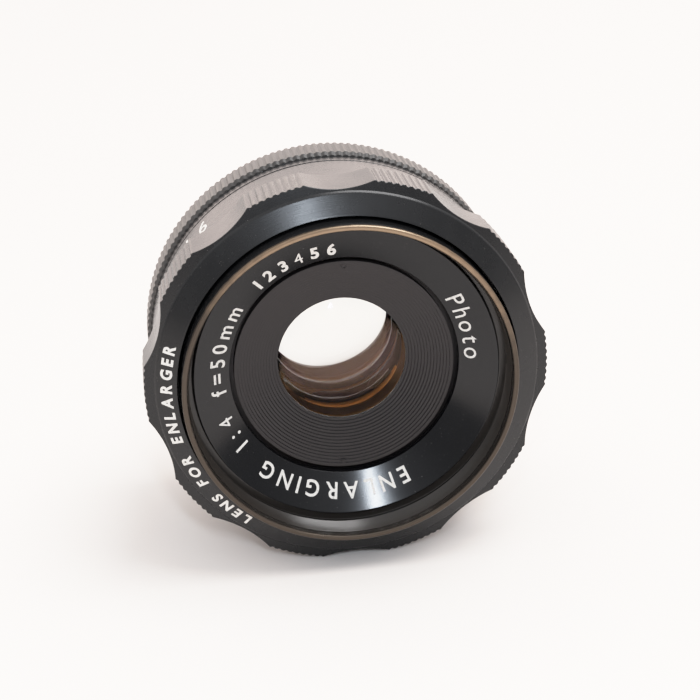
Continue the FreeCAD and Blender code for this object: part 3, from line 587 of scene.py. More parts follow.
def applied(piece):
    """Turns the piece's modifiers into a plain mesh, and removes them."""
    shown = piece.evaluated_get(bpy.context.evaluated_depsgraph_get())
    data = bpy.data.meshes.new_from_object(shown)
    piece.modifiers.clear()
    piece.data = data
    data.name = piece.name
    return piece


def welded(piece):
    """Merges the seams of a repeated piece and points its faces outwards."""
    mesh = bmesh.new()
    mesh.from_mesh(piece.data)
    bmesh.ops.remove_doubles(mesh, verts=mesh.verts, dist=WELD)
    bmesh.ops.recalc_face_normals(mesh, faces=mesh.faces)
    mesh.to_mesh(piece.data)
    mesh.free()
    return piece


def shaded(piece):
    """Smooth shading with crisp corners, and flats that stay flat."""
    piece.data.shade_smooth()
    piece.data.set_sharp_from_angle(angle=SHARP_ANGLE)
    weights = piece.modifiers.new("even_shading", "WEIGHTED_NORMAL")
    weights.keep_sharp = True
    return applied(piece)


def place(piece, body, slot, finish, *nodes):
    """Gives a finished piece its material and body, and hides the CAD nodes it stands for. The slot is not
    used.
    """
    shaded(piece)
    piece.data.materials.clear()
    piece.data.materials.append(finish_named(finish))
    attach(piece, body)
    if nodes:
        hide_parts(*nodes)
    return piece


def repaint(node, finish):
    """Gives a CAD node that stays its finish."""
    data = frame["nodes"][node].data
    data.materials.clear()
    data.materials.append(finish_named(finish))


# ---- geometry node trees -----------------------------------------------------------------------
def new_geometry_tree(name, inputs):
    """A geometry tree with a Geometry input, the named inputs and a Geometry output."""
    group = bpy.data.node_groups.new(name, "GeometryNodeTree")
    group.interface.new_socket("Geometry", in_out="INPUT", socket_type="NodeSocketGeometry")
    for label, kind in inputs.items():
        group.interface.new_socket(label, in_out="INPUT", socket_type="NodeSocket" + kind)
    group.interface.new_socket("Geometry", in_out="OUTPUT", socket_type="NodeSocketGeometry")
    tree = Tree(group)
    source = tree.node("NodeGroupInput")
    wires = {socket.name: Wire(tree, socket) for socket in source.outputs if socket.name}
    return tree, wires


def end_tree(tree, geometry, material):
    """Realize Instances, Set Material and the group's output."""
    real = tree.add("GeometryNodeRealizeInstances", None, {"Geometry": geometry})
    painted = tree.add("GeometryNodeSetMaterial", None, {"Geometry": real, "Material": material})
    tree.node("NodeGroupOutput", None, {"Geometry": painted})
    return tree.tree


def repeat_tree():
    """Copies of the input geometry, evenly turned about the optical axis."""
    if "repeat_around_axis" in bpy.data.node_groups:
        return bpy.data.node_groups["repeat_around_axis"]
    tree, wires = new_geometry_tree("repeat_around_axis", {"Count": "Int", "Material": "Material"})
    points = tree.add("GeometryNodePoints", None, {"Count": wires["Count"]})
    index = tree.add("GeometryNodeInputIndex")
    turn = tree.add("ShaderNodeCombineXYZ", None, {"Y": index * (2 * math.pi) / wires["Count"]})
    rotation = tree.add("FunctionNodeEulerToRotation", None, {"Euler": turn})
    sockets = {"Points": points, "Instance": wires["Geometry"], "Rotation": rotation}
    copies = tree.add("GeometryNodeInstanceOnPoints", None, sockets)
    return end_tree(tree, copies, wires["Material"])


def thread_tree():
    """A screw thread: a helix about the optical axis with a ridge of triangular section."""
    if "screw_thread" in bpy.data.node_groups:
        return bpy.data.node_groups["screw_thread"]
    inputs = {"Root Radius": "Float", "Depth": "Float", "Pitch": "Float", "Turns": "Float", "Rear": "Float",
              "Material": "Material"}
    tree, wires = new_geometry_tree("screw_thread", inputs)
    spiral = {"Resolution": 96, "Rotations": wires["Turns"], "Start Radius": wires["Root Radius"],
              "End Radius": wires["Root Radius"], "Height": wires["Pitch"] * wires["Turns"]}
    helix = tree.add("GeometryNodeCurveSpiral", None, spiral)
    half = wires["Pitch"] * 0.5
    low = tree.add("ShaderNodeCombineXYZ", None, {"X": 0.0, "Y": -half})
    high = tree.add("ShaderNodeCombineXYZ", None, {"X": 0.0, "Y": half})
    crest = tree.add("ShaderNodeCombineXYZ", None, {"X": -wires["Depth"], "Y": 0.0})
    corners = {"Point 1": low, "Point 2": high, "Point 3": crest, "Point 4": crest}
    ridge = tree.add("GeometryNodeCurvePrimitiveQuadrilateral", {"mode": "POINTS"}, corners)
    swept = tree.add("GeometryNodeCurveToMesh", None,
                     {"Curve": helix, "Profile Curve": ridge, "Fill Caps": True})
    start = tree.add("ShaderNodeCombineXYZ", None, {"Y": -wires["Rear"]})
    moved = tree.add("GeometryNodeTransform", None,
                     {"Geometry": swept, "Translation": start, "Rotation": (math.pi / 2, 0.0, 0.0)})
    return end_tree(tree, moved, wires["Material"])


def grown(piece, group, finish, **inputs):
    """Runs a geometry tree on a piece, with inputs set by their identifiers, and keeps the plain mesh."""
    modifier = piece.modifiers.new(group.name, "NODES")
    modifier.node_group = group
    values = {label.replace("_", " "): value for label, value in inputs.items()}
    values["Material"] = finish_named(finish)
    for item in group.interface.items_tree:
        if item.in_out == "INPUT" and item.name in values:
            modifier[item.identifier] = values[item.name]
    applied(piece)
    return welded(piece)


def empty_piece(name):
    return mesh_object(name, bmesh.new())


# ---- pieces: mount -----------------------------------------------------------------------------
def tooth_columns(start, pitch, crest, valley):
    """Angles and radii of one knurl groove: down a flank, along its floor and up again."""
    shares = ((0.16, crest), (0.4, valley), (0.6, valley), (0.84, crest))
    return [(start + pitch * share, radius) for share, radius in shares]


def make_mount_ring(settings):
    """Knurled collar with its threaded tail, grown from one tooth."""
    collar = MOUNT.radius
    root = MOUNT_THREAD - settings.thread_depth
    bore = MOUNT_THREAD - settings.wall
    web_radius = REAR_CELL.radius + FIT
    web_rear = MOUNT.rear + settings.web_step
    web_front = web_rear + settings.web
    chamfer = 0.3 * MM
    blunt = 0.05 * MM
    slant = settings.collar_slant
    pitch = FULL_TURN / settings.tooth_count

    def outline(tooth):
        return [
            (web_radius, web_rear), (bore, web_rear), (bore, MOUNT.rear), (root - chamfer, MOUNT.rear),
            (root, MOUNT.rear + chamfer), (root, -blunt), (root, 0.0), (BAND.radius, 0.0),
            (tooth - 2 * blunt, 0.0), (tooth, 2 * blunt), (tooth, 3 * blunt),
            (tooth, BAND.rear - slant - blunt), (tooth, BAND.rear - slant), (tooth - slant, BAND.rear),
            (BAND.radius - 2 * blunt, BAND.rear), (bore, BAND.rear), (bore, web_front),
            (web_radius, web_front),
        ]

    columns = [(degrees, outline(radius)) for degrees, radius
               in tooth_columns(0.0, pitch, collar, collar - settings.tooth_depth)]
    columns.append((columns[0][0] + pitch, columns[0][1]))
    ring = mesh_object("mount_ring_piece", columns_mesh(columns, closed=False))
    ring = grown(ring, repeat_tree(), "knurl_black", Count=settings.tooth_count)
    place(ring, "barrel", "black_anodised", "knurl_black", "mount_ring")


def make_mount_thread(settings):
    """The 39 mm thread on the tail."""
    plain_end = 0.5 * MM
    pitch = (-MOUNT.rear - plain_end) / (settings.thread_turns + 1)
    thread = grown(empty_piece("mount_thread_piece"), thread_tree(), "satin_black",
                   Root_Radius=MOUNT_THREAD - settings.thread_depth, Depth=settings.thread_depth,
                   Pitch=pitch, Turns=float(settings.thread_turns), Rear=MOUNT.rear + pitch * 0.6)
    place(thread, "barrel", "black_anodised", "satin_black")


def make_index_ring(settings):
    """The plain fixed band with its white index line."""
    bore = MOUNT_THREAD - settings.wall
    band = turned("index_band", [(bore, BAND.rear), (BAND.radius, BAND.rear), (BAND.radius, BAND.front),
                                 (bore, BAND.front)], 0.08 * MM)
    place(band, "barrel", "black_anodised", "satin_black", "index_ring")
    half = math.degrees(settings.index_width / BAND.radius) / 2
    middle = math.degrees(settings.index_angle)
    stand = BAND.radius + 0.015 * MM
    floor = BAND.radius - 0.05 * MM
    rear = BAND.rear + 0.12 * MM
    front = BAND.front - 0.1 * MM
    outline = [(floor, rear), (stand, rear), (stand, front), (floor, front)]
    mesh = columns_mesh([(middle - half, outline), (middle + half, outline)], closed=False)
    bmesh.ops.holes_fill(mesh, edges=mesh.edges)
    place(mesh_object("index_line", mesh), "barrel", "black_anodised", "white_paint")


# ---- pieces: aperture ring ---------------------------------------------------------------------
def cut_click_notches(ring, settings):
    """Cuts the hollows in the bore that the click ball rises into, one for each stop."""
    low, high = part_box("click_ball")
    ball = (low + high) / 2
    reach = math.hypot(ball.x, ball.z) + settings.click_rise
    first = math.atan2(ball.z, ball.x)
    mesh = bmesh.new()
    for stop in range(settings.click_stops):
        turn = first - stop * settings.click_angle
        centre = Vector((reach * math.cos(turn), ball.y, reach * math.sin(turn)))
        bmesh.ops.create_icosphere(mesh, subdivisions=3, radius=settings.notch_radius,
                                   matrix=Matrix.Translation(centre))
    cutter = mesh_object("click_notches", mesh)
    cut = ring.modifiers.new("click_notches", "BOOLEAN")
    cut.operation = "DIFFERENCE"
    cut.object = cutter
    applied(ring)
    bpy.data.objects.remove(cutter)


def nose_surface(settings):
    """Outer radius of the nose, radius of its mouth and a function for the height of its face."""
    outer = RING.radius - settings.bevel_in
    mouth = RING.radius - settings.land_height - settings.nose_wall
    start = RING.rear + settings.skirt_length + settings.land_length + settings.bevel_out
    slope = (RING.front - start) / (outer - mouth)

    def height(radius):
        return start + (outer - radius) * slope

    return outer, mouth, height


def make_aperture_ring(settings):
    """Ring with knurled lands between finger scallops, grown from one scallop-to-scallop sector."""
    body = RING.radius - settings.land_height
    land_rear = RING.rear + settings.skirt_length
    land_front = land_rear + settings.land_length
    nose_radius, mouth, nose_height = nose_surface(settings)
    bore = body - settings.bore_wall
    counterbore = RING.rear + settings.bore_length
    valley = RING.radius - settings.tooth_depth
    half_angle = settings.scallop_angle
    half_chord = RING.radius * math.sin(half_angle)
    floor_radius = body + settings.scallop_floor
    depth = RING.radius * math.cos(half_angle) - floor_radius
    cutter = (half_chord ** 2 + depth ** 2) / (2 * depth)
    centre = floor_radius + cutter
    bevel_width = settings.bevel_in - settings.nose_ramp
    bevel_slope = (settings.bevel_out - settings.nose_step) / bevel_width

    def scallop(turn):
        """Radius of the scallop's wall at an angle from its middle, in radians."""
        return centre * math.cos(turn) - math.sqrt(cutter ** 2 - (centre * math.sin(turn)) ** 2)

    def bevel_at(radius):
        return land_front + (RING.radius - radius) * bevel_slope

    def outline(radius):
        chamfer = 0.05 * MM
        soft = 0.12 * MM
        taper_start = land_rear - settings.land_taper
        taper = land_rear - settings.land_taper * (RING.radius - radius) / settings.land_height
        ramp = nose_height(nose_radius) - settings.nose_step
        nose = [(edge, nose_height(edge)) for edge in
                (nose_radius - 0.03 * MM, nose_radius - soft, mouth + 2 * soft, mouth + soft)]
        return [
            (bore + soft, RING.rear), (body - soft, RING.rear), (body - soft * 0.3, RING.rear + soft * 0.3),
            (body, RING.rear + soft), (body, RING.rear + 2 * soft), (body, taper_start - soft),
            (body + 0.01 * MM, taper_start), (radius - 0.06 * MM, taper), (radius, taper + 0.07 * MM),
            (radius, bevel_at(radius) - 2 * chamfer), (radius, bevel_at(radius) - chamfer),
            (radius - chamfer, bevel_at(radius - chamfer)), (nose_radius + settings.nose_ramp, ramp),
            (nose_radius + 0.02 * MM, nose_height(nose_radius) - 0.03 * MM), *nose,
            (mouth + soft * 0.3, RING.front - soft * 0.25), (mouth, RING.front - soft),
            (mouth, counterbore), (bore, counterbore), (bore, RING.rear + soft),
        ]

    sector = 2 * math.pi / settings.scallop_count
    half_steps = 14
    columns = []
    for k in range(half_steps + 1):
        turn = half_angle * k / half_steps
        columns.append((turn, scallop(turn)))
    land = sector - 2 * half_angle
    pitch = land / settings.land_teeth
    for k in range(settings.land_teeth):
        columns += tooth_columns(half_angle + k * pitch, pitch, RING.radius, valley)
    for k in range(half_steps + 1):
        turn = half_angle * (1 - k / half_steps)
        columns.append((sector - turn, scallop(turn)))
    first_scallop = 90.0
    shaped = [(first_scallop + math.degrees(turn), outline(radius)) for turn, radius in columns]
    ring = mesh_object("aperture_ring_piece", columns_mesh(shaped, closed=False))
    ring = grown(ring, repeat_tree(), "satin_black", Count=settings.scallop_count)
    cut_click_notches(ring, settings)
    place(ring, "stop_control", "black_anodised", "satin_black", "aperture_ring")


# ---- pieces: front tube, name ring and stepped cone --------------------------------------------
def make_front_tube(settings):
    """Filter tube with its worn lip, painted brighter towards its lit top."""
    outer = FILTER_BORE + settings.tube_wall
    flange_front = TUBE.rear + settings.flange_height
    shoulder = TUBE.front - settings.tube_bore_length
    neck = NAME.radius + FIT
    groove_front = NAME.front + settings.relief_air
    outline = [
        (neck, TUBE.rear), (TUBE.radius, TUBE.rear), (TUBE.radius, flange_front), (outer, flange_front),
        (outer, TUBE.front), (FILTER_BORE, TUBE.front), (FILTER_BORE, groove_front),
        (FILTER_BORE + settings.relief, groove_front), (FILTER_BORE + settings.relief, shoulder),
        (neck, shoulder),
    ]
    tube = turned("filter_tube", outline, settings.lip_round)
    place(tube, "barrel", "worn_brass", "worn_lip", "front_tube")


def make_filter_thread(settings):
    """The fine thread inside the filter tube."""
    lead_in = 1.6    # turns of plain bore inside the lip
    turns = settings.thread_turns
    rear = TUBE.front - settings.thread_pitch * (turns + lead_in)
    thread = grown(empty_piece("filter_thread_piece"), thread_tree(), "worn_lip", Root_Radius=FILTER_BORE,
                   Depth=-settings.thread_depth, Pitch=settings.thread_pitch, Turns=float(turns), Rear=rear)
    place(thread, "barrel", "worn_brass", "worn_lip")


def name_surface(settings):
    """Radius beside the stepped cone, and a function for the height of the name ring's face."""
    inner = CELL.radius - settings.cone_outset + settings.name_gap
    slope = settings.name_fall / (NAME.radius - inner)

    def height(radius):
        return NAME.front - (NAME.radius - radius) * slope

    return inner, height


def make_name_ring(settings):
    """The lettered funnel inside the filter thread."""
    cone_side, height = name_surface(settings)
    inner = cone_side + settings.name_groove
    skirt = CELL.radius
    flat = NAME.front - settings.name_fall + 0.07 * MM
    outline = [(inner, NAME.rear), (skirt, NAME.rear), (skirt, flat), (NAME.radius, flat),
               (NAME.radius, NAME.front), (inner, height(inner))]
    ring = turned("name_ring_piece", outline, 0.1 * MM)
    place(ring, "barrel", "dull_black", "gloss_black", "name_ring")


def stepped(outer, inner, front, rear, steps):
    """Outline points down a stepped cone, from its wide end to its narrow end."""
    points = []
    for k in range(steps):
        radius = outer + (inner - outer) * k / steps
        points.append((radius, front + (rear - front) * k / steps))
        points.append((radius, front + (rear - front) * (k + 1) / steps))
    return points


def make_front_cell(settings):
    """Cell with the finely stepped cone around the front glass."""
    glass = bpy.context.scene.lens_glass
    cone_radius = CELL.radius - settings.cone_outset
    bore = FRONT_GLASS.radius + FIT
    tail = bore + settings.cell_tail_wall
    cone_rear = CELL.front - settings.cone_height
    seat = cone_rear - glass.seat_depth
    flange_front = CELL.front - settings.flange_drop
    flange_rear = flange_front - settings.flange_depth
    outline = [(bore, CELL.rear), (tail, CELL.rear), (tail, flange_rear), (CELL.radius, flange_rear),
               (CELL.radius, flange_front), (cone_radius, flange_front), (cone_radius, CELL.front)]
    outline += stepped(cone_radius - settings.cone_land, settings.clear_radius, CELL.front, cone_rear,
                       settings.cone_steps)
    outline += [(settings.clear_radius, cone_rear), (settings.clear_radius, seat), (bore, seat)]
    cell = turned("front_cell_piece", outline, 0.03 * MM)
    place(cell, "barrel", "dull_black", "dull_black", "front_cell")
    near_edge = cone_radius - settings.cone_land * 1.4
    near_top, near_foot = 88.0, 267.0
    for degrees in (near_top, near_foot):
        make_spanner_hole(near_edge, degrees)


def make_spanner_hole(radius, degrees):
    """A small dark spanner hole near the cone's edge, as a sunk cup."""
    hole = 0.22 * MM
    collar = 1.25 * hole
    rim = CELL.front + 0.015 * MM
    steps = 20
    middle = at(radius, degrees, 0.0)
    mesh = bmesh.new()
    loops = []
    for reach, forward in ((collar, rim - 0.06 * MM), (collar, rim), (hole, rim), (hole, rim - 0.1 * MM)):
        points = [middle + at(reach, FULL_TURN * k / steps, forward) for k in range(steps)]
        loops.append([mesh.verts.new(point) for point in points])
    for here, ahead in zip(loops, loops[1:]):
        for k in range(steps):
            n = (k + 1) % steps
            mesh.faces.new((here[k], here[n], ahead[n], ahead[k]))
    mesh.faces.new(loops[-1])
    mesh.faces.new(loops[0])
    piece = mesh_object("spanner_hole_" + str(int(degrees)), mesh)
    place(piece, "barrel", "dull_black", "dull_black")


# ---- pieces: glass and the rings that hold it --------------------------------------------------
def mirrored(points):
    return list(reversed(points))


def ground_rim(piece, clear):
    """Stains a glass's ground cylinder and the flats outside its clear radius."""
    flat = 0.9995
    wall = 0.02
    piece.data.materials.append(finish_named("ground_edge"))
    for face in piece.data.polygons:
        straight = abs(face.normal.y) > flat or abs(face.normal.y) < wall
        if straight and math.hypot(face.center.x, face.center.z) > clear:
            face.material_index = 1


def place_glass(name, outline, finish, node, clear):
    """Makes one glass, polished inside its clear radius and ground outside it."""
    piece = turned(name, outline)
    place(piece, "barrel", "coated_glass", finish, node)
    ground_rim(piece, clear)


def make_glass(settings):
    """The four glasses, each turned from the curves of its two faces."""
    edge = FRONT_GLASS.radius
    clear = edge - settings.spacer_width
    front = dome(settings.front_curve, FRONT_GLASS.front, edge, 1)
    flat = [(0.0, FRONT_GLASS.rear), (clear, FRONT_GLASS.rear), (edge, FRONT_GLASS.rear)]
    place_glass("front_glass", flat + front, "crown_glass", "front_lens", clear)

    front_clear = settings.middle_front_clear
    back_clear = settings.middle_back_clear
    top_vertex = MIDDLE_GLASS.front - sagitta(settings.middle_front_curve, front_clear)
    back_vertex = MIDDLE_GLASS.rear + sagitta(settings.middle_back_curve, back_clear)
    top = dome(settings.middle_front_curve, top_vertex, front_clear, -1)
    back = mirrored(dome(settings.middle_back_curve, back_vertex, back_clear, 1))
    rim = [(edge, MIDDLE_GLASS.rear), (edge, MIDDLE_GLASS.front)]
    place_glass("middle_glass", back + rim + top, "flint_glass", "middle_lens", back_clear)

    edge = REAR_GLASS_FRONT.radius
    clear = settings.rear_clear
    top_vertex = REAR_GLASS_FRONT.front - sagitta(settings.rear_front_curve, clear)
    cement_vertex = REAR_GLASS_FRONT.rear + sagitta(settings.cement_curve, edge)
    cement = dome(settings.cement_curve, cement_vertex, edge, 1)
    top = [(edge, REAR_GLASS_FRONT.front)] + dome(settings.rear_front_curve, top_vertex, clear, -1)
    place_glass("rear_glass_front", mirrored(cement) + top, "flint_glass", "rear_lens_front", clear)

    gap = cement_vertex - REAR_GLASS_BACK.front
    inner = [(radius, forward - gap) for radius, forward in cement]
    back = mirrored(dome(settings.rear_back_curve, REAR_GLASS_BACK.rear, edge, -1))
    place_glass("rear_glass_back", back + inner, "crown_glass", "rear_lens_back", clear)


def plain_ring(name, extent, hole, finish, node):
    """A flat ring with slightly rounded corners that stands for one CAD node."""
    outline = [(hole, extent.rear), (extent.radius, extent.rear), (extent.radius, extent.front),
               (hole, extent.front)]
    place(turned(name, outline, FINE_ROUND), "barrel", "dull_black", finish, node)


def make_retainers(settings):
    """Spacer and retaining rings."""
    spacer_hole = SPACER.radius - settings.spacer_width
    retainer_hole = FRONT_RETAINER.radius - settings.retainer_width
    plain_ring("glass_spacer", SPACER, spacer_hole, "cell_brown", "lens_spacer")
    plain_ring("front_retainer", FRONT_RETAINER, retainer_hole, "cell_brown", "front_retaining_ring")
    plain_ring("rear_retainer", REAR_RETAINER, settings.rear_clear, "dull_black", "rear_retaining_ring")


# ---- pieces: rear ------------------------------------------------------------------------------
def make_rear_cell(settings):
    """Cell of the doublet, with a stepped cone behind the glass."""
    glass = bpy.context.scene.lens_glass
    seat = REAR_GLASS_FRONT.front
    lip_top = REAR_CELL.front
    bore = REAR_GLASS_FRONT.radius + FIT
    thread = REAR_RETAINER.radius + FIT
    thread_top = REAR_GLASS_BACK.rear + sagitta(glass.rear_back_curve, REAR_GLASS_BACK.radius)
    cone_top = REAR_RETAINER.rear - settings.cone_gap
    outline = [(glass.rear_clear, seat), (glass.rear_clear, lip_top), (settings.body_radius, lip_top),
               (settings.body_radius, -settings.flange_front), (REAR_CELL.radius, -settings.flange_front),
               (REAR_CELL.radius, -settings.flange_rear), (settings.tail_radius, -settings.flange_rear),
               (settings.tail_radius, REAR_CELL.rear)]
    outline += stepped(settings.cone_radius, thread, REAR_CELL.rear, cone_top, settings.cone_steps)
    outline += [(thread, cone_top), (thread, thread_top), (bore, thread_top), (bore, seat)]
    cell = turned("rear_cell_piece", outline, FINE_ROUND)
    place(cell, "barrel", "dull_black", "dull_black", "rear_cell")


def paint_inner_nodes():
    """Finishes for the CAD pieces whose own shape is right."""
    finishes = {
        "main_barrel": "dull_black", "cam_ring": "cell_brown", "iris_base": "cell_brown",
        "iris_retaining_ring": "dull_black", "click_ball": "steel", "click_spring": "steel",
        "drive_screw": "steel", "mount_screws": "steel",
    }
    for node, finish in finishes.items():
        repaint(node, finish)
    for node in frame["nodes"]:
        if node.startswith("iris_blade"):
            repaint(node, "blade_steel")


# ---- pieces: lettering -------------------------------------------------------------------------
def glyph(character, size, thickness, weight, narrow):
    """A character as a bmesh, centred across, standing on y = 0, with its width."""
    curve = bpy.data.curves.new("glyph", "FONT")
    curve.body = character
    curve.size = size
    curve.offset = 0.0 if character == "4" else weight    # thickening would close this one's triangle
    curve.extrude = thickness / 2
    curve.resolution_u = 4
    holder = bpy.data.objects.new("glyph", curve)
    bpy.context.scene.collection.objects.link(holder)
    shown = holder.evaluated_get(bpy.context.evaluated_depsgraph_get())
    data = bpy.data.meshes.new_from_object(shown)
    mesh = bmesh.new()
    mesh.from_mesh(data)
    bpy.data.objects.remove(holder)
    bpy.data.curves.remove(curve)
    bpy.data.meshes.remove(data)
    bmesh.ops.remove_doubles(mesh, verts=mesh.verts, dist=WELD)
    if not mesh.verts:
        space = 0.45              # width of a space as a share of the font's size
        return mesh, size * space
    bmesh.ops.scale(mesh, verts=mesh.verts, vec=(narrow, 1.0, 1.0))
    low = min(vert.co.x for vert in mesh.verts)
    high = max(vert.co.x for vert in mesh.verts)
    bmesh.ops.translate(mesh, verts=mesh.verts, vec=(-(low + high) / 2, 0.0, 0.0))
    step = 0.3 * MM               # width of the strips that let a flat letter bend
    strips = 8                    # strips on each side of its middle
    for k in range(-strips, strips + 1):
        every = mesh.verts[:] + mesh.edges[:] + mesh.faces[:]
        bmesh.ops.bisect_plane(mesh, geom=every, plane_co=(k * step, 0, 0), plane_no=(1, 0, 0), dist=1e-8)
    return mesh, high - low


def write_words(name, words, size, start, end, radius, wrap, weight=0.0, narrow=1.0):
    """Words along an arc from start to end degrees. wrap takes a glyph's own point and its angle."""
    letters = bpy.context.scene.lens_letters
    thickness = letters.paint_depth + letters.paint_stand
    glyphs = [glyph(character, size, thickness, weight, narrow) for character in words]
    taken = sum(width for _, width in glyphs)
    span = math.radians(abs(end - start)) * radius
    gap = (span - taken) / max(1, len(words) - 1)
    whole = bmesh.new()
    along = 0.0
    for mesh, width in glyphs:
        middle = math.radians(start) - math.copysign((along + width / 2) / radius, start - end)
        for vert in mesh.verts:
            lift = vert.co.z + (letters.paint_stand - letters.paint_depth) / 2
            vert.co = wrap(vert.co.x, vert.co.y, lift, middle)
        part = bpy.data.meshes.new("part")
        mesh.to_mesh(part)
        mesh.free()
        whole.from_mesh(part)
        bpy.data.meshes.remove(part)
        along += width + gap
    return mesh_object(name, whole)


def on_face(baseline, height):
    """Wraps glyphs on a coned face, with their tops outwards, reading clockwise."""
    def wrap(across, up, lift, middle):
        outwards = Vector((math.cos(middle), math.sin(middle)))
        clockwise = Vector((math.sin(middle), -math.cos(middle)))
        spot = outwards * (baseline + up) + clockwise * across
        return Vector((spot.x, -height(spot.length) - lift, spot.y))
    return wrap


def on_skirt(radius, foot):
    """Wraps figures on a cylinder, with their feet at a forward place and their tops behind it."""
    def wrap(across, up, lift, middle):
        return at(radius + lift, math.degrees(middle - across / radius), foot - up)
    return wrap


def make_lettering(settings):
    """Words on the name ring and the nose, and stop numbers on the skirt."""
    front = bpy.context.scene.lens_front
    ring = bpy.context.scene.lens_ring
    _, name_height = name_surface(front)
    capital = 0.73                # height of a capital as a share of the font's size
    light, bold = 0.012, 0.035    # how much a stroke is thickened, as a share of the font's size
    name_row = (    # piece, words, size, start and end in degrees, radius of the feet, thickening
        ("words_lens", settings.name_words, 2.27 * MM, 296, 227, 13.35 * MM, light),
        ("words_speed", settings.speed, 2.2 * MM, 214, 198, 13.2 * MM, light),
        ("words_focus", settings.focal_length, 2.25 * MM, 187, 144, 12.95 * MM, light),
        ("words_number", settings.number, 1.95 * MM, 131, 92, 12.95 * MM, bold),
        ("words_side", settings.side_word, 2.6 * MM, 32, 0, 12.9 * MM, 0.0),
    )
    for name, words, size, start, end, baseline, weight in name_row:
        middle = baseline + size * capital / 2
        piece = write_words(name, words, size, start, end, middle, on_face(baseline, name_height),
                            weight=weight * size)
        place(piece, "barrel", "dull_black", "white_paint")
    _, _, nose_height = nose_surface(ring)
    size = 1.6 * MM
    baseline = 18.65 * MM
    piece = write_words("words_nose", settings.nose_words, size, 233, 163, baseline + size * capital / 2,
                        on_face(baseline, nose_height), weight=bold * size)
    place(piece, "stop_control", "black_anodised", "white_paint")
    body = RING.radius - ring.land_height
    size = 4.5 * MM
    narrow = 0.6
    spreads = {1: 0.1, 2: 4.6, 3: 6.5}    # degrees on each side of the middle, by characters
    for number, middle in (("16", 136), ("11", 156), ("8", 176), ("5.6", 196), ("4", 216)):
        spread = spreads[len(number)]
        piece = write_words("stop_" + number.replace(".", "_"), number, size, middle + spread,
                            middle - spread, body, on_skirt(body, 10.4 * MM), 0.0, narrow)
        place(piece, "stop_control", "black_anodised", "white_paint")


# ---- stage -------------------------------------------------------------------------------------
def make_floor(settings):
    """A sheet of paper that the lens leans on with its lands and its rear collar."""
    half = settings.floor_size / 2
    ring = bpy.context.scene.lens_ring
    contact_front = RING.radius * math.cos(ring.scallop_angle)
    contact_rear = MOUNT.radius
    front_at = RING.rear + ring.skirt_length
    slope = (contact_front - contact_rear) / front_at
    clearance = 0.01 * MM
    mesh = bmesh.new()
    corners = [(-half, -half), (half, -half), (half, half), (-half, half)]
    verts = [mesh.verts.new((x, y, -contact_rear - clearance + y * slope)) for x, y in corners]
    mesh.faces.new(verts)
    floor = mesh_object("floor", mesh)
    floor.data.materials.append(paper("paper", settings.floor_colour))


def make_world(settings):
    """White surroundings: bright above and behind, dimmer on the camera's side."""
    world = bpy.data.worlds.new("studio")
    bpy.context.scene.world = world
    world.use_nodes = True
    tree = Tree(world.node_tree)
    world.node_tree.nodes.clear()
    direction = tree.add("ShaderNodeTexCoord", output="Generated")
    _, side, up = tree.split(direction)
    above = up.rises(0.25, 0.8)
    behind = side.rises(-0.3, 0.5) * (1.0 - above)
    light = settings.front_fill + above * (settings.overhead - settings.front_fill) \
        + behind * (settings.backdrop - settings.front_fill)
    tint = tree.blend(behind, (1.0, 0.985, 0.97), (1.0, 0.86, 0.785))
    background = tree.add("ShaderNodeBackground", None, {"Color": tint, "Strength": light})
    tree.node("ShaderNodeOutputWorld", None, {"Surface": background})


WARM_WHITE = (1.0, 0.97, 0.94)
COOL_WHITE = (0.86, 0.93, 1.0)
LIGHTS = (    # name, position, width, height, watts and colour
    ("key", (0.36, -0.12, 0.92), 0.55, 0.55, 7.0, WARM_WHITE),
    ("flash", (-0.007, -0.19, 0.096), 0.012, 0.012, 0.07, COOL_WHITE),
    ("upper_flash", (-0.021, -0.187, 0.126), 0.012, 0.01, 0.06, COOL_WHITE),
)


def add_light(name, position, width, height, energy, tint):
    """A soft area light that points at the lens."""
    data = bpy.data.lights.new(name, "AREA")
    data.shape = "RECTANGLE"
    data.size = width
    data.size_y = height
    data.energy = energy
    data.color = tint
    light = bpy.data.objects.new(name, data)
    bpy.context.scene.collection.objects.link(light)
    light.location = position
    light.rotation_euler = (-Vector(position)).to_track_quat("-Z", "Y").to_euler()


def set_tones(view):
    """Plain colours with a soft shoulder, so that the pale floor keeps its tint."""
    white = 2.5                   # scene brightness at the right end of the curves
    middle = 0.5
    warm_ends = (0.968, 0.915)    # where the green and the blue curve end, for a warm white
    # pairs of scene brightness and shown brightness
    tones = ((0.05, 0.042), (0.2, 0.19), (0.4, 0.4), (0.7, 0.68), (1.0, 0.86), (1.4, 0.955), (1.9, 0.99))
    view.view_transform = "Standard"
    view.use_curve_mapping = True
    mapping = view.curve_mapping
    mapping.white_level = (white, white, white)
    curve = mapping.curves[3]
    for light, shown in tones:
        curve.points.new(light / white, shown)
    for channel, brightest in zip(mapping.curves[1:3], warm_ends):
        channel.points.new(middle, middle)
        channel.points[-1].location = (1.0, brightest)
    mapping.update()


def make_camera(settings):
    """The camera, a little above the lens's axis and to its left."""
    position = Vector((-19.51262, -182.25671, 69.36532)) * MM
    target = Vector((1.347, -9.393, -0.569)) * MM
    forward = (target - position).normalized()
    level = forward.cross(Vector((0.0, 0.0, 1.0))).normalized()
    upright = level.cross(forward)
    right = level * math.cos(settings.roll) + upright * math.sin(settings.roll)
    up = right.cross(forward)
    data = bpy.data.cameras.new("camera")
    data.lens = settings.lens_length
    data.sensor_width = 36.0
    data.clip_start = 0.01
    camera = bpy.data.objects.new("camera", data)
    bpy.context.scene.collection.objects.link(camera)
    turn = Matrix((right, up, -forward)).transposed()
    camera.matrix_world = Matrix.Translation(position) @ turn.to_4x4()
    bpy.context.scene.camera = camera


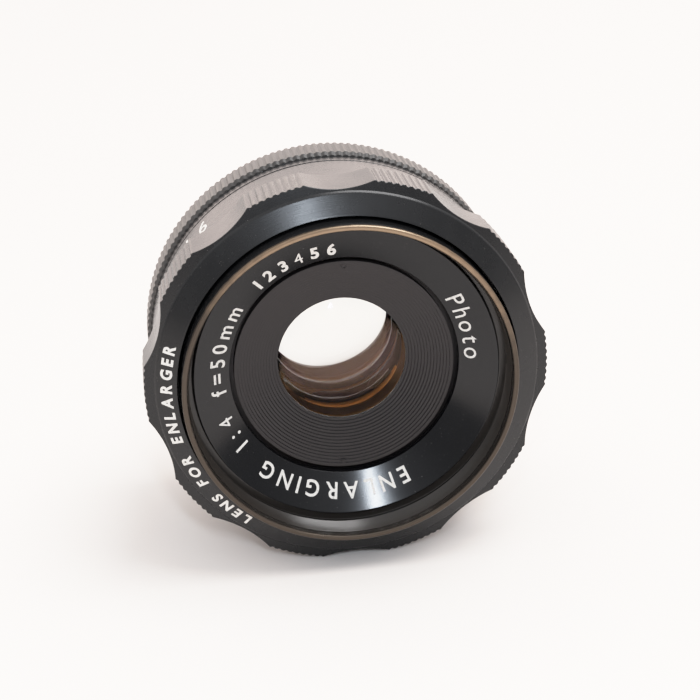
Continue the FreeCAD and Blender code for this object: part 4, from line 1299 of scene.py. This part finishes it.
# ---- operators ---------------------------------------------------------------------------------
class LENS_OT_stage(bpy.types.Operator):
    """Makes the floor, the lights, the surroundings and the camera"""
    bl_idname = "lens.stage"
    bl_label = "Stage"

    def execute(self, context):
        settings = context.scene.lens_stage
        set_tones(context.scene.view_settings)
        make_floor(settings)
        make_world(settings)
        for light in LIGHTS:
            add_light(*light)
        make_camera(settings)
        return {"FINISHED"}


class LENS_OT_mount(bpy.types.Operator):
    """Makes the knurled collar, the mounting thread and the index band"""
    bl_idname = "lens.mount"
    bl_label = "Mount and index band"

    def execute(self, context):
        settings = context.scene.lens_mount
        make_mount_ring(settings)
        make_mount_thread(settings)
        make_index_ring(settings)
        return {"FINISHED"}


class LENS_OT_aperture_ring(bpy.types.Operator):
    """Makes the scalloped aperture ring"""
    bl_idname = "lens.aperture_ring"
    bl_label = "Aperture ring"

    def execute(self, context):
        make_aperture_ring(context.scene.lens_ring)
        return {"FINISHED"}


class LENS_OT_front_tube(bpy.types.Operator):
    """Makes the filter tube and its thread"""
    bl_idname = "lens.front_tube"
    bl_label = "Filter tube"

    def execute(self, context):
        make_front_tube(context.scene.lens_front)
        make_filter_thread(context.scene.lens_front)
        return {"FINISHED"}


class LENS_OT_front_face(bpy.types.Operator):
    """Makes the name ring and the front cell's stepped cone"""
    bl_idname = "lens.front_face"
    bl_label = "Name ring and front cell"

    def execute(self, context):
        make_name_ring(context.scene.lens_front)
        make_front_cell(context.scene.lens_front)
        return {"FINISHED"}


class LENS_OT_glass(bpy.types.Operator):
    """Makes the four glasses and the rings that hold them"""
    bl_idname = "lens.glass"
    bl_label = "Glass and retaining rings"

    def execute(self, context):
        make_glass(context.scene.lens_glass)
        make_retainers(context.scene.lens_glass)
        return {"FINISHED"}


class LENS_OT_rear(bpy.types.Operator):
    """Makes the rear cell"""
    bl_idname = "lens.rear"
    bl_label = "Rear cell"

    def execute(self, context):
        make_rear_cell(context.scene.lens_rear)
        return {"FINISHED"}


class LENS_OT_inner(bpy.types.Operator):
    """Finishes the barrel, the iris, the click stop and the screws"""
    bl_idname = "lens.inner"
    bl_label = "Inner pieces"

    def execute(self, context):
        paint_inner_nodes()
        return {"FINISHED"}


class LENS_OT_lettering(bpy.types.Operator):
    """Paints the words and figures"""
    bl_idname = "lens.lettering"
    bl_label = "Lettering"

    def execute(self, context):
        make_lettering(context.scene.lens_letters)
        return {"FINISHED"}


OPERATORS = (
    LENS_OT_stage, LENS_OT_mount, LENS_OT_aperture_ring, LENS_OT_front_tube, LENS_OT_front_face,
    LENS_OT_glass, LENS_OT_rear, LENS_OT_inner, LENS_OT_lettering,
)
SETTINGS = {
    "lens_stage": LensStageSettings, "lens_mount": LensMountSettings, "lens_ring": LensRingSettings,
    "lens_front": LensFrontSettings, "lens_glass": LensGlassSettings, "lens_rear": LensRearSettings,
    "lens_letters": LensLetterSettings, "lens_colours": LensColourSettings,
}


class LENS_PT_panel(bpy.types.Panel):
    """Lists the pieces in the sidebar"""
    bl_label = "Enlarging lens"
    bl_idname = "LENS_PT_panel"
    bl_space_type = "VIEW_3D"
    bl_region_type = "UI"
    bl_category = "Lens"

    def draw(self, context):
        for operator in OPERATORS:
            self.layout.operator(operator.bl_idname)
        for name, group in SETTINGS.items():
            box = self.layout.box()
            box.label(text=group.__doc__)
            for prop in group.__annotations__:
                box.prop(getattr(context.scene, name), prop)


def register():
    for group in SETTINGS.values():
        bpy.utils.register_class(group)
    for operator in OPERATORS:
        bpy.utils.register_class(operator)
    bpy.utils.register_class(LENS_PT_panel)
    for name, group in SETTINGS.items():
        setattr(bpy.types.Scene, name, PointerProperty(type=group))


def unregister():
    for name in SETTINGS:
        delattr(bpy.types.Scene, name)
    bpy.utils.unregister_class(LENS_PT_panel)
    for operator in reversed(OPERATORS):
        bpy.utils.unregister_class(operator)
    for group in reversed(list(SETTINGS.values())):
        bpy.utils.unregister_class(group)


def main():
    register()
    bpy.ops.lens.stage()
    bpy.ops.lens.mount()
    bpy.ops.lens.aperture_ring()
    bpy.ops.lens.front_tube()
    bpy.ops.lens.front_face()
    bpy.ops.lens.glass()
    bpy.ops.lens.rear()
    bpy.ops.lens.inner()
    bpy.ops.lens.lettering()


if __name__ == "__main__":
    main()
